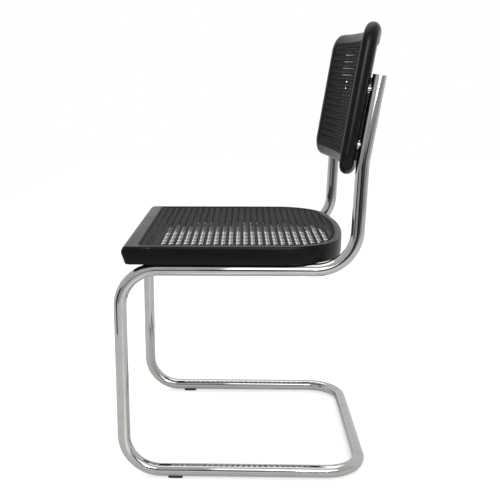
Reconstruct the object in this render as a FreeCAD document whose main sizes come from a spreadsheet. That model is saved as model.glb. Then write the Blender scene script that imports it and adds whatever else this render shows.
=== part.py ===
# Cantilever dining chair: one bent steel tube carries a cane seat and a curved cane back.
# Millimetres, +Z up. The sitter faces -Y. The origin is on the floor, under the middle of the chair.
import FreeCAD
import Part
import Sketcher
import math
import os

Vector = FreeCAD.Vector
Rotation = FreeCAD.Rotation
Placement = FreeCAD.Placement

DIMENSIONS = {
    "tube_diameter": 24.0,
    "tube_wall": 2.0,
    "tube_spacing": 432.0,
    "bend_radius": 70.0,
    "upright_bend_radius": 72.0,
    "glide_height": 3.0,
    "leg_y": -236.0,
    "base_length": 454.5,
    "seat_tube_height": 410.0,
    "kink_height": 604.0,
    "kink_y": 197.4,
    "kink_radius": 150.0,
    "upright_lean": 2.0,
    "back_lean": 9.0,
    "tube_top_height": 750.5,
    "cap_thickness": 2.0,
    "plug_length": 8.0,
    "seat_width": 464.0,
    "seat_front_y": -230.5,
    "seat_rear_y": 186.4,
    "seat_thickness": 33.0,
    "seat_corner_radius": 110.0,
    "seat_rear_radius": 700.0,
    "seat_edge_bevel": 4.0,
    "rail_end_round": 10.0,
    "rail_depth": 54.0,
    "rail_undercut": 6.5,
    "nose_radius": 12.0,
    "rail_border": 29.5,
    "rim_width": 20.0,
    "rim_border": 13.0,
    "groove_width": 4.0,
    "groove_depth": 7.0,
    "groove_corner": 10.0,
    "cane_thickness": 1.4,
    "cane_pitch": 30.0,
    "cane_gap": 18.0,
    "back_width": 464.0,
    "back_height": 264.0,
    "back_thickness": 25.0,
    "back_radius": 857.0,
    "back_corner_radius": 38.0,
    "back_edge_bevel": 8.0,
    "back_member": 32.0,
    "back_border": 20.0,
    "back_opening_corner": 6.0,
    "back_centre_height": 712.5,
    "back_clearance": 2.4,
    "spacer_diameter": 11.0,
    "spacer_upper": 20.0,
    "spacer_lower": -76.0,
    "tenon_thickness": 6.0,
    "tenon_width": 8.0,
    "tenon_inset": 9.0,
    "tenon_length": 24.0,
    "glide_length": 28.0,
    "glide_width": 12.0,
    "glide_grip": 1.6,
    "front_glide_y": -139.0,
    "rear_glide_x": 122.0,
}

doc = FreeCAD.newDocument("cantilever_chair")
sheet = doc.addObject("Spreadsheet::Sheet", "dims")
for row, (alias, number) in enumerate(DIMENSIONS.items(), start=1):
    sheet.set(f"A{row}", alias.replace("_", " "))
    sheet.set(f"B{row}", f"{number:g}")
    sheet.setAlias(f"B{row}", alias)
doc.recompute()


class Size:
    """A length or angle that knows its number and the expression that binds it to the sheet."""

    def __init__(self, value, text):
        self.value = value
        self.text = text

    def join(self, other, sign, value):
        return Size(value, f"({self.text} {sign} {other.text})")

    def __add__(self, other):
        other = as_size(other)
        return self.join(other, "+", self.value + other.value)

    def __sub__(self, other):
        other = as_size(other)
        return self.join(other, "-", self.value - other.value)

    def __mul__(self, other):
        other = as_size(other)
        return self.join(other, "*", self.value * other.value)

    def __truediv__(self, other):
        other = as_size(other)
        return self.join(other, "/", self.value / other.value)

    def __rsub__(self, other):
        return as_size(other) - self

    def __neg__(self):
        return as_size(0) - self


def as_size(number):
    if isinstance(number, Size):
        return number
    return Size(float(number), f"{number:g}")


def dim(alias):
    return Size(DIMENSIONS[alias], f"dims.{alias}")


def tangent_of(angle):
    return Size(math.tan(math.radians(angle.value)), f"tan({angle.text})")


def cosine_of(angle):
    return Size(math.cos(math.radians(angle.value)), f"cos({angle.text})")


def sine_of(angle):
    return Size(math.sin(math.radians(angle.value)), f"sin({angle.text})")


def root_of(square):
    return Size(math.sqrt(square.value), f"sqrt({square.text})")


def bind(thing, prop, size):
    thing.setExpression(prop, as_size(size).text)


def place(thing, x, y, z, rotation=None):
    """Put a sub-part where its driving sizes say."""
    x, y, z = as_size(x), as_size(y), as_size(z)
    thing.Placement = Placement(Vector(x.value, y.value, z.value), rotation or Rotation())
    bind(thing, "Placement.Base.x", x)
    bind(thing, "Placement.Base.y", y)
    bind(thing, "Placement.Base.z", z)


# Sizes that several sub-parts share.
tube_radius = dim("tube_diameter") / 2
bore_radius = tube_radius - dim("tube_wall")
tube_x = dim("tube_spacing") / 2
base_height = dim("glide_height") + tube_radius
rear_y = dim("leg_y") + dim("base_length")
seat_bottom = dim("seat_tube_height") + tube_radius
seat_top = seat_bottom + dim("seat_thickness")
lean = dim("back_lean")


def plane_of(body, role):
    for feature in body.Origin.OriginFeatures:
        if feature.Role == role:
            return feature
    raise RuntimeError(f"{body.Label} has no {role}")


def new_body(name):
    body = doc.addObject("PartDesign::Body", name)
    body.Label = name
    return body


def body_sketch(body, name, role, offset=0):
    """A sketch on one of the body's origin planes, moved along the plane's normal."""
    sketch = body.newObject("Sketcher::SketchObject", name)
    sketch.AttachmentSupport = [(plane_of(body, role), "")]
    sketch.MapMode = "FlatFace"
    offset = as_size(offset)
    sketch.AttachmentOffset = Placement(Vector(0, 0, offset.value), Rotation())
    bind(sketch, "AttachmentOffset.Base.z", offset)
    return sketch


def front_sketch(name):
    """A free sketch that stands in the X-Z plane, for outlines seen from the front."""
    sketch = doc.addObject("Sketcher::SketchObject", name)
    sketch.Placement = Placement(Vector(), Rotation(Vector(1, 0, 0), 90))
    return sketch


def measure(sketch, kind, size, *where):
    """Add one dimension and bind it to the sheet."""
    size = as_size(size)
    index = sketch.addConstraint(Sketcher.Constraint(kind, *where, size.value))
    bind(sketch, f"Constraints[{index}]", size)


def relate(sketch, *words):
    sketch.addConstraint(Sketcher.Constraint(*words))


def add_line(sketch, x0, y0, x1, y1):
    return sketch.addGeometry(Part.LineSegment(Vector(x0, y0, 0), Vector(x1, y1, 0)), False)


def add_arc(sketch, x, y, radius, start, end):
    """An arc between two angles in degrees, counter-clockwise."""
    circle = Part.Circle(Vector(x, y, 0), Vector(0, 0, 1), radius)
    return sketch.addGeometry(Part.ArcOfCircle(circle, math.radians(start), math.radians(end)), False)


def add_circle(sketch, x, y, radius):
    """A circle whose centre and radius are bound."""
    x, y, radius = as_size(x), as_size(y), as_size(radius)
    index = sketch.addGeometry(Part.Circle(Vector(x.value, y.value, 0), Vector(0, 0, 1), radius.value), False)
    pin_point(sketch, index, 3, x, y)
    measure(sketch, "Radius", radius, index)
    return index


def pin_point(sketch, index, point, x, y):
    """Hold one point of a piece of geometry at a bound place."""
    measure(sketch, "DistanceX", x, -1, 1, index, point)
    measure(sketch, "DistanceY", y, -1, 1, index, point)


def rounded_rectangle(sketch, width, height, corner):
    """A centred rectangle with round corners, fully bound."""
    half_x, half_y = as_size(width) / 2, as_size(height) / 2
    corner = as_size(corner)
    x, y, r = half_x.value, half_y.value, corner.value
    edges = [
        add_line(sketch, -x + r, -y, x - r, -y),
        add_arc(sketch, x - r, -y + r, r, 270, 360),
        add_line(sketch, x, -y + r, x, y - r),
        add_arc(sketch, x - r, y - r, r, 0, 90),
        add_line(sketch, x - r, y, -x + r, y),
        add_arc(sketch, -x + r, y - r, r, 90, 180),
        add_line(sketch, -x, y - r, -x, -y + r),
        add_arc(sketch, -x + r, -y + r, r, 180, 270),
    ]
    for this, following in zip(edges, edges[1:] + edges[:1]):
        relate(sketch, "Tangent", this, 2, following, 1)
    for line, way in ((edges[0], "Horizontal"), (edges[2], "Vertical")):
        relate(sketch, way, line)
    centres = [(edges[1], 1, -1), (edges[3], 1, 1), (edges[5], -1, 1), (edges[7], -1, -1)]
    for arc, side_x, side_y in centres[:2] + centres[2:3]:
        pin_point(sketch, arc, 3, (half_x - corner) * side_x, (half_y - corner) * side_y)
    measure(sketch, "Radius", corner, edges[1])


class SeatOutline:
    """The D of the seat in plan, drawn in by an offset: two sides, two corners and a shallow rear arc."""

    def __init__(self, offset):
        offset = as_size(offset)
        self.side = dim("seat_width") / 2 - offset
        self.corner = dim("seat_corner_radius") - offset
        self.rear = dim("seat_rear_radius") - offset
        self.rear_centre_y = dim("seat_rear_y") - dim("seat_rear_radius")
        self.corner_x = self.side - self.corner
        reach = self.rear - self.corner
        self.corner_y = self.rear_centre_y + root_of(reach * reach - self.corner_x * self.corner_x)
        rise = (self.corner_y - self.rear_centre_y).value
        self.turn = math.degrees(math.atan2(rise, self.corner_x.value))

    def draw(self, sketch, y_start):
        """Add the open D from its right front end to its left one."""
        y_start = as_size(y_start)
        x, y = self.corner_x.value, self.corner_y.value
        side, r = self.side.value, self.corner.value
        edges = [
            add_line(sketch, side, y_start.value, side, y),
            add_arc(sketch, x, y, r, 0, self.turn),
            add_arc(sketch, 0, self.rear_centre_y.value, self.rear.value, self.turn, 180 - self.turn),
            add_arc(sketch, -x, y, r, 180 - self.turn, 180),
            add_line(sketch, -side, y, -side, y_start.value),
        ]
        pin_point(sketch, edges[0], 1, self.side, y_start)
        pin_point(sketch, edges[1], 3, self.corner_x, self.corner_y)
        pin_point(sketch, edges[3], 3, -self.corner_x, self.corner_y)
        pin_point(sketch, edges[4], 2, -self.side, y_start)
        measure(sketch, "Radius", self.corner, edges[1])
        for this, following in zip(edges[:-1], edges[1:]):
            relate(sketch, "Tangent", this, 2, following, 1)
        relate(sketch, "PointOnObject", edges[2], 3, -2)
        return edges

    def draw_closed(self, sketch, y_front, corner):
        """Add the whole loop, with a straight front between two small round corners."""
        y_front, corner = as_size(y_front), as_size(corner)
        edges = self.draw(sketch, y_front + corner)
        side, y, r = self.side.value, y_front.value, corner.value
        left = add_arc(sketch, -side + r, y + r, r, 180, 270)
        front = add_line(sketch, -side + r, y, side - r, y)
        right = add_arc(sketch, side - r, y + r, r, 270, 360)
        loop = [edges[-1], left, front, right, edges[0]]
        for this, following in zip(loop[:-1], loop[1:]):
            relate(sketch, "Coincident", this, 2, following, 1)
        pin_point(sketch, left, 3, -self.side + corner, y_front + corner)
        pin_point(sketch, right, 3, self.side - corner, y_front + corner)
        relate(sketch, "Horizontal", front)
        relate(sketch, "Tangent", front, left)

    def holds(self, x, y, y_front, margin):
        """Whether a point lies inside the loop by at least a margin."""
        x = abs(x)
        if x > self.side.value - margin or y < y_front + margin:
            return False
        if math.hypot(x, y - self.rear_centre_y.value) > self.rear.value - margin:
            return False
        in_corner = x > self.corner_x.value and y > self.corner_y.value
        reach = math.hypot(x - self.corner_x.value, y - self.corner_y.value)
        return not in_corner or reach <= self.corner.value - margin


def edges_where(feature, test):
    """Names of the edges of a feature that pass a test on their middle point."""
    names = []
    for number, edge in enumerate(feature.Shape.Edges, start=1):
        middle = edge.valueAt((edge.FirstParameter + edge.LastParameter) / 2)
        if test(edge, middle):
            names.append(f"Edge{number}")
    return names


def near(a, b, tolerance=0.05):
    return abs(a - b) < tolerance


def shrink(feature, before, what):
    """Confirm that a cut took material away."""
    if feature.Shape.Volume >= before - 1e-6:
        raise RuntimeError(f"{what} cut nothing")


# The steel tube: a side path in the plane of each leg and a rear loop on the floor.
# Its bore is sealed by the two caps, so it is only cut where they plug in.
def side_path(body):
    sketch = body_sketch(body, "side_path", "YZ_Plane", tube_x)
    r = dim("bend_radius")
    turn = dim("upright_bend_radius")
    kink_r = dim("kink_radius")
    leg_y, low, high = dim("leg_y").value, base_height.value, dim("seat_tube_height").value
    bend = r.value
    upright = dim("upright_lean").value
    foot_y = dim("kink_y").value - (dim("kink_height").value - high) * math.tan(math.radians(upright))
    rear_turn = math.radians(90 - upright)
    reach = turn.value * math.tan(rear_turn / 2)
    rear_x = foot_y - reach
    rise = (math.sin(math.radians(upright)), math.cos(math.radians(upright)))
    tilt = (math.sin(math.radians(lean.value)), math.cos(math.radians(lean.value)))
    kink_reach = kink_r.value * math.tan(math.radians(lean.value - upright) / 2)
    kink = (dim("kink_y").value, dim("kink_height").value)
    low_end = (kink[0] - rise[0] * kink_reach, kink[1] - rise[1] * kink_reach)
    high_start = (kink[0] + tilt[0] * kink_reach, kink[1] + tilt[1] * kink_reach)
    top = dim("tube_top_height").value
    top_y = kink[0] + (top - kink[1]) * math.tan(math.radians(lean.value))
    bend_end = (foot_y + rise[0] * reach, high + rise[1] * reach)
    kink_centre = (low_end[0] + rise[1] * kink_r.value, low_end[1] - rise[0] * kink_r.value)
    edges = [
        add_line(sketch, rear_y.value - bend, low, leg_y + bend, low),
        add_arc(sketch, leg_y + bend, low + bend, bend, 180, 270),
        add_line(sketch, leg_y, low + bend, leg_y, high - bend),
        add_arc(sketch, leg_y + bend, high - bend, bend, 90, 180),
        add_line(sketch, leg_y + bend, high, rear_x, high),
        add_arc(sketch, rear_x, high + turn.value, turn.value, 270, 360 - upright),
        add_line(sketch, *bend_end, *low_end),
        add_arc(sketch, *kink_centre, kink_r.value, 180 - lean.value, 180 - upright),
        add_line(sketch, *high_start, top_y, top),
    ]
    starts = [1, 2, 1, 2, 1, 1, 1, 2, 1]
    ends = [2, 1, 2, 1, 2, 2, 2, 1, 2]
    for number in range(len(edges) - 1):
        relate(sketch, "Tangent", edges[number], ends[number], edges[number + 1], starts[number + 1])
    relate(sketch, "Horizontal", edges[0])
    relate(sketch, "Vertical", edges[2])
    relate(sketch, "Horizontal", edges[4])
    pin_point(sketch, edges[0], 1, rear_y - r, base_height)
    measure(sketch, "DistanceX", dim("leg_y"), -1, 1, edges[2], 1)
    measure(sketch, "DistanceY", dim("seat_tube_height"), -1, 1, edges[4], 1)
    for arc in (edges[1], edges[3]):
        measure(sketch, "Radius", r, arc)
    measure(sketch, "Radius", turn, edges[5])
    measure(sketch, "Radius", kink_r, edges[7])
    upper_y = dim("kink_y") + (dim("tube_top_height") - dim("kink_height")) * tangent_of(lean)
    pin_point(sketch, edges[8], 2, upper_y, dim("tube_top_height"))
    measure(sketch, "Angle", as_size(90) - lean, edges[8])
    measure(sketch, "Angle", as_size(90) - dim("upright_lean"), edges[6])
    kink_half = (lean - dim("upright_lean")) / 2
    measure(sketch, "Distance", (dim("tube_top_height") - dim("kink_height")) / cosine_of(lean)
            - kink_r * tangent_of(kink_half), edges[8])
    return sketch


def rear_path(body):
    sketch = body_sketch(body, "rear_path", "XY_Plane", base_height)
    bend = dim("bend_radius")
    x, y, r = tube_x.value, rear_y.value, bend.value
    edges = [
        add_arc(sketch, x - r, y - r, r, 0, 90),
        add_line(sketch, x - r, y, -x + r, y),
        add_arc(sketch, -x + r, y - r, r, 90, 180),
    ]
    relate(sketch, "Tangent", edges[0], 2, edges[1], 1)
    relate(sketch, "Tangent", edges[1], 2, edges[2], 1)
    pin_point(sketch, edges[0], 3, tube_x - bend, rear_y - bend)
    pin_point(sketch, edges[2], 3, bend - tube_x, rear_y - bend)
    pin_point(sketch, edges[0], 1, tube_x, rear_y - bend)
    measure(sketch, "DistanceY", rear_y - bend, -1, 1, edges[2], 2)
    return sketch


def sweep(body, name, profile, path):
    pipe = body.newObject("PartDesign::AdditivePipe", name)
    pipe.Profile = profile
    pipe.Spine = (path, [])
    return pipe


TILTED = Rotation(Vector(1, 0, 0), -lean.value)
SIDES = (("left", 1), ("right", -1))

back_sag = dim("back_radius") - root_of(
    dim("back_radius") * dim("back_radius") - dim("back_width") * dim("back_width") / 4)
rear_reach = dim("back_radius") + dim("back_thickness") / 2 + dim("back_clearance") + tube_radius
tube_w = back_sag - dim("back_radius") + root_of(rear_reach * rear_reach - tube_x * tube_x)
back_z = dim("back_centre_height")
back_y = dim("kink_y") + (back_z - dim("kink_height")) * tangent_of(lean) - tube_w / cosine_of(lean)


def upright_top(rise):
    """The Y and Z of a point on the upright's axis, a given rise above its sawn end."""
    rise = as_size(rise)
    top_y = dim("kink_y") + (dim("tube_top_height") - dim("kink_height")) * tangent_of(lean)
    return top_y + rise * sine_of(lean), dim("tube_top_height") + rise * cosine_of(lean)


def make_side_tube():
    """The left side in one length, bored for its cap: runner, leg, seat run and upright."""
    body = new_body("side_tube")
    path = side_path(body)
    ring = body_sketch(body, "side_section", "XZ_Plane", dim("bend_radius") - rear_y)
    add_circle(ring, tube_x, base_height, tube_radius)
    sweep(body, "side_sweep", ring, path)
    doc.recompute()
    top_y, top_z = upright_top(-dim("plug_length"))
    bore = body.newObject("PartDesign::SubtractiveCylinder", "bore")
    bind(bore, "Radius", bore_radius)
    bind(bore, "Height", dim("plug_length") * 2)
    place(bore, tube_x, top_y, top_z, TILTED)
    doc.recompute()
    return body


def make_rear_loop():
    body = new_body("frame_rear_loop")
    path = rear_path(body)
    ring = body_sketch(body, "rear_section", "XZ_Plane", dim("bend_radius") - rear_y)
    add_circle(ring, tube_x, base_height, tube_radius)
    sweep(body, "rear_sweep", ring, path)
    doc.recompute()
    return body


def mirrored(name, source):
    other = doc.addObject("Part::Mirroring", name)
    other.Label = name
    other.Source = source
    other.Normal = Vector(1, 0, 0)
    return other


def make_frame_tube():
    """The bent frame as five lengths that meet at the ends of its bends."""
    side = make_side_tube()
    size = dim("tube_top_height")
    upper = box("upper_lengths", dim("tube_spacing") / 2, size, size, tube_x,
                dim("leg_y") + dim("bend_radius"), dim("seat_tube_height") / 2 + size / 2)
    leg = cut("frame_leg_left", side, upper)
    upright = common("frame_upright_left", side, upper)
    doc.recompute()
    return [make_rear_loop(), leg, mirrored("frame_leg_right", leg),
            upright, mirrored("frame_upright_right", upright)]


def make_tube_cap(side_name, sign):
    body = new_body(f"tube_cap_{side_name}")
    sketch = body_sketch(body, f"cap_profile_{side_name}", "XZ_Plane")
    corners = [
        (as_size(0), 0 - dim("plug_length")),
        (bore_radius, 0 - dim("plug_length")),
        (bore_radius, as_size(0)),
        (tube_radius, as_size(0)),
        (tube_radius, dim("cap_thickness")),
        (as_size(0), dim("cap_thickness")),
    ]
    draw_polygon(sketch, corners)
    turn = body.newObject("PartDesign::Revolution", f"cap_turned_{side_name}")
    turn.Profile = sketch
    turn.ReferenceAxis = (sketch, ["V_Axis"])
    turn.Angle = 360
    place(body, tube_x * sign, *upright_top(0), TILTED)
    return body


def draw_polygon(sketch, corners):
    """A closed outline of straight lines, with every corner bound."""
    lines = []
    for (x0, y0), (x1, y1) in zip(corners, corners[1:] + corners[:1]):
        lines.append(add_line(sketch, x0.value, y0.value, x1.value, y1.value))
    for this, following in zip(lines, lines[1:] + lines[:1]):
        relate(sketch, "Coincident", this, 2, following, 1)
    for line, (x, y) in zip(lines, corners):
        pin_point(sketch, line, 1, x, y)


# The seat: a straight front rail and a bentwood rim, grooved round the cane.
def cut_cane_seat(body):
    """The spline groove and the shallow ledge that the cane lies on."""
    before = body.Shape.Volume
    groove = body_sketch(body, f"groove_{body.Label}", "XY_Plane", seat_top)
    front = dim("seat_front_y") + dim("rail_border")
    SeatOutline(dim("rim_border")).draw_closed(groove, front, dim("groove_corner"))
    inner = SeatOutline(dim("rim_border") + dim("groove_width"))
    inner_corner = dim("groove_corner") - dim("groove_width")
    inner.draw_closed(groove, front + dim("groove_width"), inner_corner)
    cut = body.newObject("PartDesign::Pocket", f"groove_cut_{body.Label}")
    cut.Profile = groove
    bind(cut, "Length", dim("groove_depth"))
    doc.recompute()
    shrink(cut, before, cut.Label)
    before = cut.Shape.Volume
    ledge = body_sketch(body, f"ledge_{body.Label}", "XY_Plane", seat_top)
    inner.draw_closed(ledge, front + dim("groove_width"), inner_corner)
    cut = body.newObject("PartDesign::Pocket", f"ledge_cut_{body.Label}")
    cut.Profile = ledge
    bind(cut, "Length", dim("cane_thickness"))
    doc.recompute()
    shrink(cut, before, cut.Label)


def box(name, width, depth, height, x, y, z):
    """A box centred on a point in X and Z that starts at Y."""
    block = doc.addObject("Part::Box", name)
    bind(block, "Length", width)
    bind(block, "Width", depth)
    bind(block, "Height", height)
    place(block, x - width / 2, y, z - height / 2)
    return block


def make_seat_tenons():
    """Loose tongues that join the rail to the two ends of the rim."""
    start = dim("seat_front_y") + dim("rail_depth") - dim("tenon_length") / 2
    x = dim("seat_width") / 2 - dim("rim_width") / 2
    height = seat_bottom + dim("tenon_width")
    tenons = []
    for side_name, sign in SIDES:
        tenons.append(box(f"seat_tenon_{side_name}", dim("tenon_thickness"), dim("tenon_length"),
                          dim("tenon_width"), x * sign, start, height))
    return tenons


def cut_seat_joints(body):
    """Mortises for the loose tongues."""
    start = dim("seat_front_y") + dim("rail_depth") - dim("tenon_length") / 2
    x = dim("seat_width") / 2 - dim("rim_width") / 2
    height = seat_bottom + dim("tenon_width")
    for side_name, sign in SIDES:
        mortise = body.newObject("PartDesign::SubtractiveBox", f"mortise_{body.Label}_{side_name}")
        bind(mortise, "Length", dim("tenon_thickness"))
        bind(mortise, "Width", dim("tenon_length"))
        bind(mortise, "Height", dim("tenon_width"))
        place(mortise, x * sign - dim("tenon_thickness") / 2, start, height - dim("tenon_width") / 2)
        doc.recompute()


def make_seat_front_rail():
    body = new_body("seat_front_rail")
    sketch = body_sketch(body, "rail_section", "YZ_Plane")
    front, back = dim("seat_front_y"), dim("seat_front_y") + dim("rail_depth")
    nose = dim("nose_radius")
    foot = front + dim("rail_undercut")
    centre_y, centre_z = front + nose, seat_top - nose
    across, down = (foot - centre_y).value, (seat_bottom - centre_z).value
    slant = math.atan2(down, across) - math.acos(nose.value / math.hypot(across, down))
    touch_y = centre_y.value + nose.value * math.cos(slant)
    touch_z = centre_z.value + nose.value * math.sin(slant)
    edges = [
        add_line(sketch, foot.value, seat_bottom.value, touch_y, touch_z),
        add_arc(sketch, centre_y.value, centre_z.value, nose.value, 90, math.degrees(slant) % 360),
        add_line(sketch, centre_y.value, seat_top.value, back.value, seat_top.value),
        add_line(sketch, back.value, seat_top.value, back.value, seat_bottom.value),
        add_line(sketch, back.value, seat_bottom.value, foot.value, seat_bottom.value),
    ]
    relate(sketch, "Tangent", edges[0], 2, edges[1], 2)
    relate(sketch, "Tangent", edges[1], 1, edges[2], 1)
    relate(sketch, "Coincident", edges[2], 2, edges[3], 1)
    relate(sketch, "Coincident", edges[3], 2, edges[4], 1)
    relate(sketch, "Coincident", edges[4], 2, edges[0], 1)
    pin_point(sketch, edges[0], 1, foot, seat_bottom)
    pin_point(sketch, edges[1], 3, centre_y, centre_z)
    pin_point(sketch, edges[3], 1, back, seat_top)
    pin_point(sketch, edges[3], 2, back, seat_bottom)
    pad = body.newObject("PartDesign::Pad", "rail_bar")
    pad.Profile = sketch
    pad.Midplane = True
    bind(pad, "Length", dim("seat_width"))
    doc.recompute()
    half = dim("seat_width").value / 2

    def at_end(edge, middle):
        level = middle.z > seat_bottom.value + 0.5
        return near(abs(middle.x), half) and level and middle.y < back.value - 0.5

    soft = body.newObject("PartDesign::Fillet", "rail_end_rounds")
    soft.Base = (pad, edges_where(pad, at_end))
    bind(soft, "Radius", dim("rail_end_round"))
    doc.recompute()
    cut_cane_seat(body)
    cut_seat_joints(body)
    return body


def make_seat_bent_rim():
    body = new_body("seat_bent_rim")
    sketch = body_sketch(body, "rim_plan", "XY_Plane", seat_bottom)
    start = dim("seat_front_y") + dim("rail_depth")
    outer = SeatOutline(0).draw(sketch, start)
    inner = SeatOutline(dim("rim_width")).draw(sketch, start)
    side, inset = dim("seat_width").value / 2, dim("rim_width").value
    right = add_line(sketch, side - inset, start.value, side, start.value)
    left = add_line(sketch, -side, start.value, -side + inset, start.value)
    relate(sketch, "Coincident", right, 1, inner[0], 1)
    relate(sketch, "Coincident", right, 2, outer[0], 1)
    relate(sketch, "Coincident", left, 1, outer[4], 2)
    relate(sketch, "Coincident", left, 2, inner[4], 2)
    pad = body.newObject("PartDesign::Pad", "rim_bar")
    pad.Profile = sketch
    bind(pad, "Length", dim("seat_thickness"))
    doc.recompute()
    outline = SeatOutline(0)

    def outer_top(edge, middle):
        on_edge = not outline.holds(middle.x, middle.y, -1000, 0.5)
        return near(middle.z, seat_top.value) and on_edge and middle.y > start.value + 0.5

    bevel = body.newObject("PartDesign::Chamfer", "rim_top_bevel")
    bevel.Base = (pad, edges_where(pad, outer_top))
    bind(bevel, "Size", dim("seat_edge_bevel"))
    doc.recompute()
    cut_cane_seat(body)
    cut_seat_joints(body)
    return body


def make_seat_spline():
    body = new_body("seat_spline")
    sketch = body_sketch(body, "spline_plan", "XY_Plane", seat_top - dim("groove_depth"))
    front = dim("seat_front_y") + dim("rail_border")
    SeatOutline(dim("rim_border")).draw_closed(sketch, front, dim("groove_corner"))
    inner_corner = dim("groove_corner") - dim("groove_width")
    inner = SeatOutline(dim("rim_border") + dim("groove_width"))
    inner.draw_closed(sketch, front + dim("groove_width"), inner_corner)
    pad = body.newObject("PartDesign::Pad", "spline_ring")
    pad.Profile = sketch
    bind(pad, "Length", dim("groove_depth") - 0.3)
    doc.recompute()
    return body


def square_hole(x, y, side, place_point):
    """A square wire round a point; place_point turns plan x, y into a point in space."""
    h = side / 2
    corners = [(x - h, y - h), (x + h, y - h), (x + h, y + h), (x - h, y + h), (x - h, y - h)]
    return Part.makePolygon([place_point(a, b) for a, b in corners])


def holed_face(wires):
    """A flat face with an outline, then its holes."""
    return Part.makeFace(Part.makeCompound(wires), "Part::FaceMakerBullseye")


def grid(limit, pitch):
    """Places at a steady pitch on both sides of zero, up to a limit."""
    count = int(limit // pitch)
    return [pitch * step for step in range(-count, count + 1)]


def make_seat_cane():
    """The cane sheet as one holed face, cut to lie on the ledge inside the groove."""
    outline = SeatOutline(dim("rim_border") + dim("groove_width"))
    lip = SeatOutline(dim("rim_width"))
    front = (dim("seat_front_y") + dim("rail_border") + dim("groove_width")).value
    corner = (dim("groove_corner") - dim("groove_width")).value
    level = (seat_top - dim("cane_thickness")).value
    side, r = outline.side.value, outline.corner.value
    cx, cy = outline.corner_x.value, outline.corner_y.value
    turn = math.radians(outline.turn)
    half_turn = turn / 2

    def spot(x, y):
        return Vector(x, y, level)

    def bow(a, b, c):
        return Part.Arc(spot(*a), spot(*b), spot(*c)).toShape()

    def on_corner(sign, angle):
        return (sign * (cx + r * math.cos(angle)), cy + r * math.sin(angle))

    k = corner * (1 - math.sqrt(0.5))
    apex = (0, outline.rear_centre_y.value + outline.rear.value)
    edges = [
        Part.LineSegment(spot(-side + corner, front), spot(side - corner, front)).toShape(),
        bow((side - corner, front), (side - k, front + k), (side, front + corner)),
        Part.LineSegment(spot(side, front + corner), spot(side, cy)).toShape(),
        bow((side, cy), on_corner(1, half_turn), on_corner(1, turn)),
        bow(on_corner(1, turn), apex, on_corner(-1, turn)),
        bow(on_corner(-1, turn), on_corner(-1, half_turn), (-side, cy)),
        Part.LineSegment(spot(-side, cy), spot(-side, front + corner)).toShape(),
        bow((-side, front + corner), (-side + k, front + k), (-side + corner, front)),
    ]
    pitch, gap = DIMENSIONS["cane_pitch"], DIMENSIONS["cane_gap"]
    rail_back = (dim("seat_front_y") + dim("rail_depth")).value
    wires = [Part.Wire(edges)]
    for y in grid(side, pitch):
        for x in grid(side, pitch):
            corners = [(x + sx * gap / 2, y + sy * gap / 2) for sx in (-1, 1) for sy in (-1, 1)]
            if all(lip.holds(a, b, rail_back, 2) for a, b in corners):
                wires.append(square_hole(x, y, gap, spot))
    print("seat cane gaps", len(wires) - 1)
    face = holed_face(wires)
    cane = doc.addObject("Part::Feature", "seat_cane")
    cane.Label = "seat_cane"
    cane.Shape = face.extrude(Vector(0, 0, DIMENSIONS["cane_thickness"] - 0.1))
    return cane


def group(name, members):
    """Several identical pieces that share one node and stay separate solids."""
    together = doc.addObject("Part::Compound", name)
    together.Label = name
    together.Links = members
    return together


# The back: built upright about its own middle and leaned into place at the end.
# There X runs across, Y runs to the rear (w) and Z runs up along the lean (v).
REACH = 90


def back_layer(name, offset, depth):
    """A curved sheet that lies offset behind the back's front face and is depth thick."""
    front_radius = dim("back_radius") - dim("back_thickness") / 2 + offset
    discs = []
    for part_name, radius in (("outer", front_radius + depth), ("inner", front_radius)):
        disc = doc.addObject("Part::Cylinder", f"{name}_{part_name}")
        bind(disc, "Radius", radius)
        bind(disc, "Height", dim("back_height") + 40)
        place(disc, 0, back_sag - dim("back_radius"), -dim("back_height") / 2 - 20)
        discs.append(disc)
    layer = doc.addObject("Part::Cut", name)
    layer.Base = discs[0]
    layer.Tool = discs[1]
    return layer


def back_slab(name, inset, corner):
    """A rounded rectangle, inset from the back's outline, run straight through from front to rear."""
    sketch = front_sketch(f"{name}_outline")
    inset = as_size(inset)
    rounded_rectangle(sketch, dim("back_width") - inset * 2, dim("back_height") - inset * 2, corner)
    slab = doc.addObject("Part::Extrusion", name)
    slab.Base = sketch
    slab.DirMode = "Custom"
    slab.Dir = Vector(0, 1, 0)
    slab.LengthFwd = REACH
    slab.LengthRev = REACH / 2
    slab.Solid = True
    return slab


def common(name, base, tool):
    result = doc.addObject("Part::Common", name)
    result.Base = base
    result.Tool = tool
    return result


def cut(name, base, tool):
    result = doc.addObject("Part::Cut", name)
    result.Base = base
    result.Tool = tool
    return result


def back_tenons():
    """Loose tongues across the four joints between rails and stiles."""
    joint = dim("back_height") / 2 - dim("back_member") - dim("back_opening_corner")
    x = dim("back_width") / 2 - dim("tenon_inset")
    radius = dim("back_radius")
    w = back_sag - radius + root_of(radius * radius - x * x)
    tenons = []
    for side_name, sign in SIDES:
        for end, way in (("top", 1), ("bottom", -1)):
            tenons.append(box(f"back_tenon_{side_name}_{end}", dim("tenon_width"), dim("tenon_thickness"),
                              dim("tenon_length"), x * sign, w - dim("tenon_thickness") / 2, joint * way))
    return tenons


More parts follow.
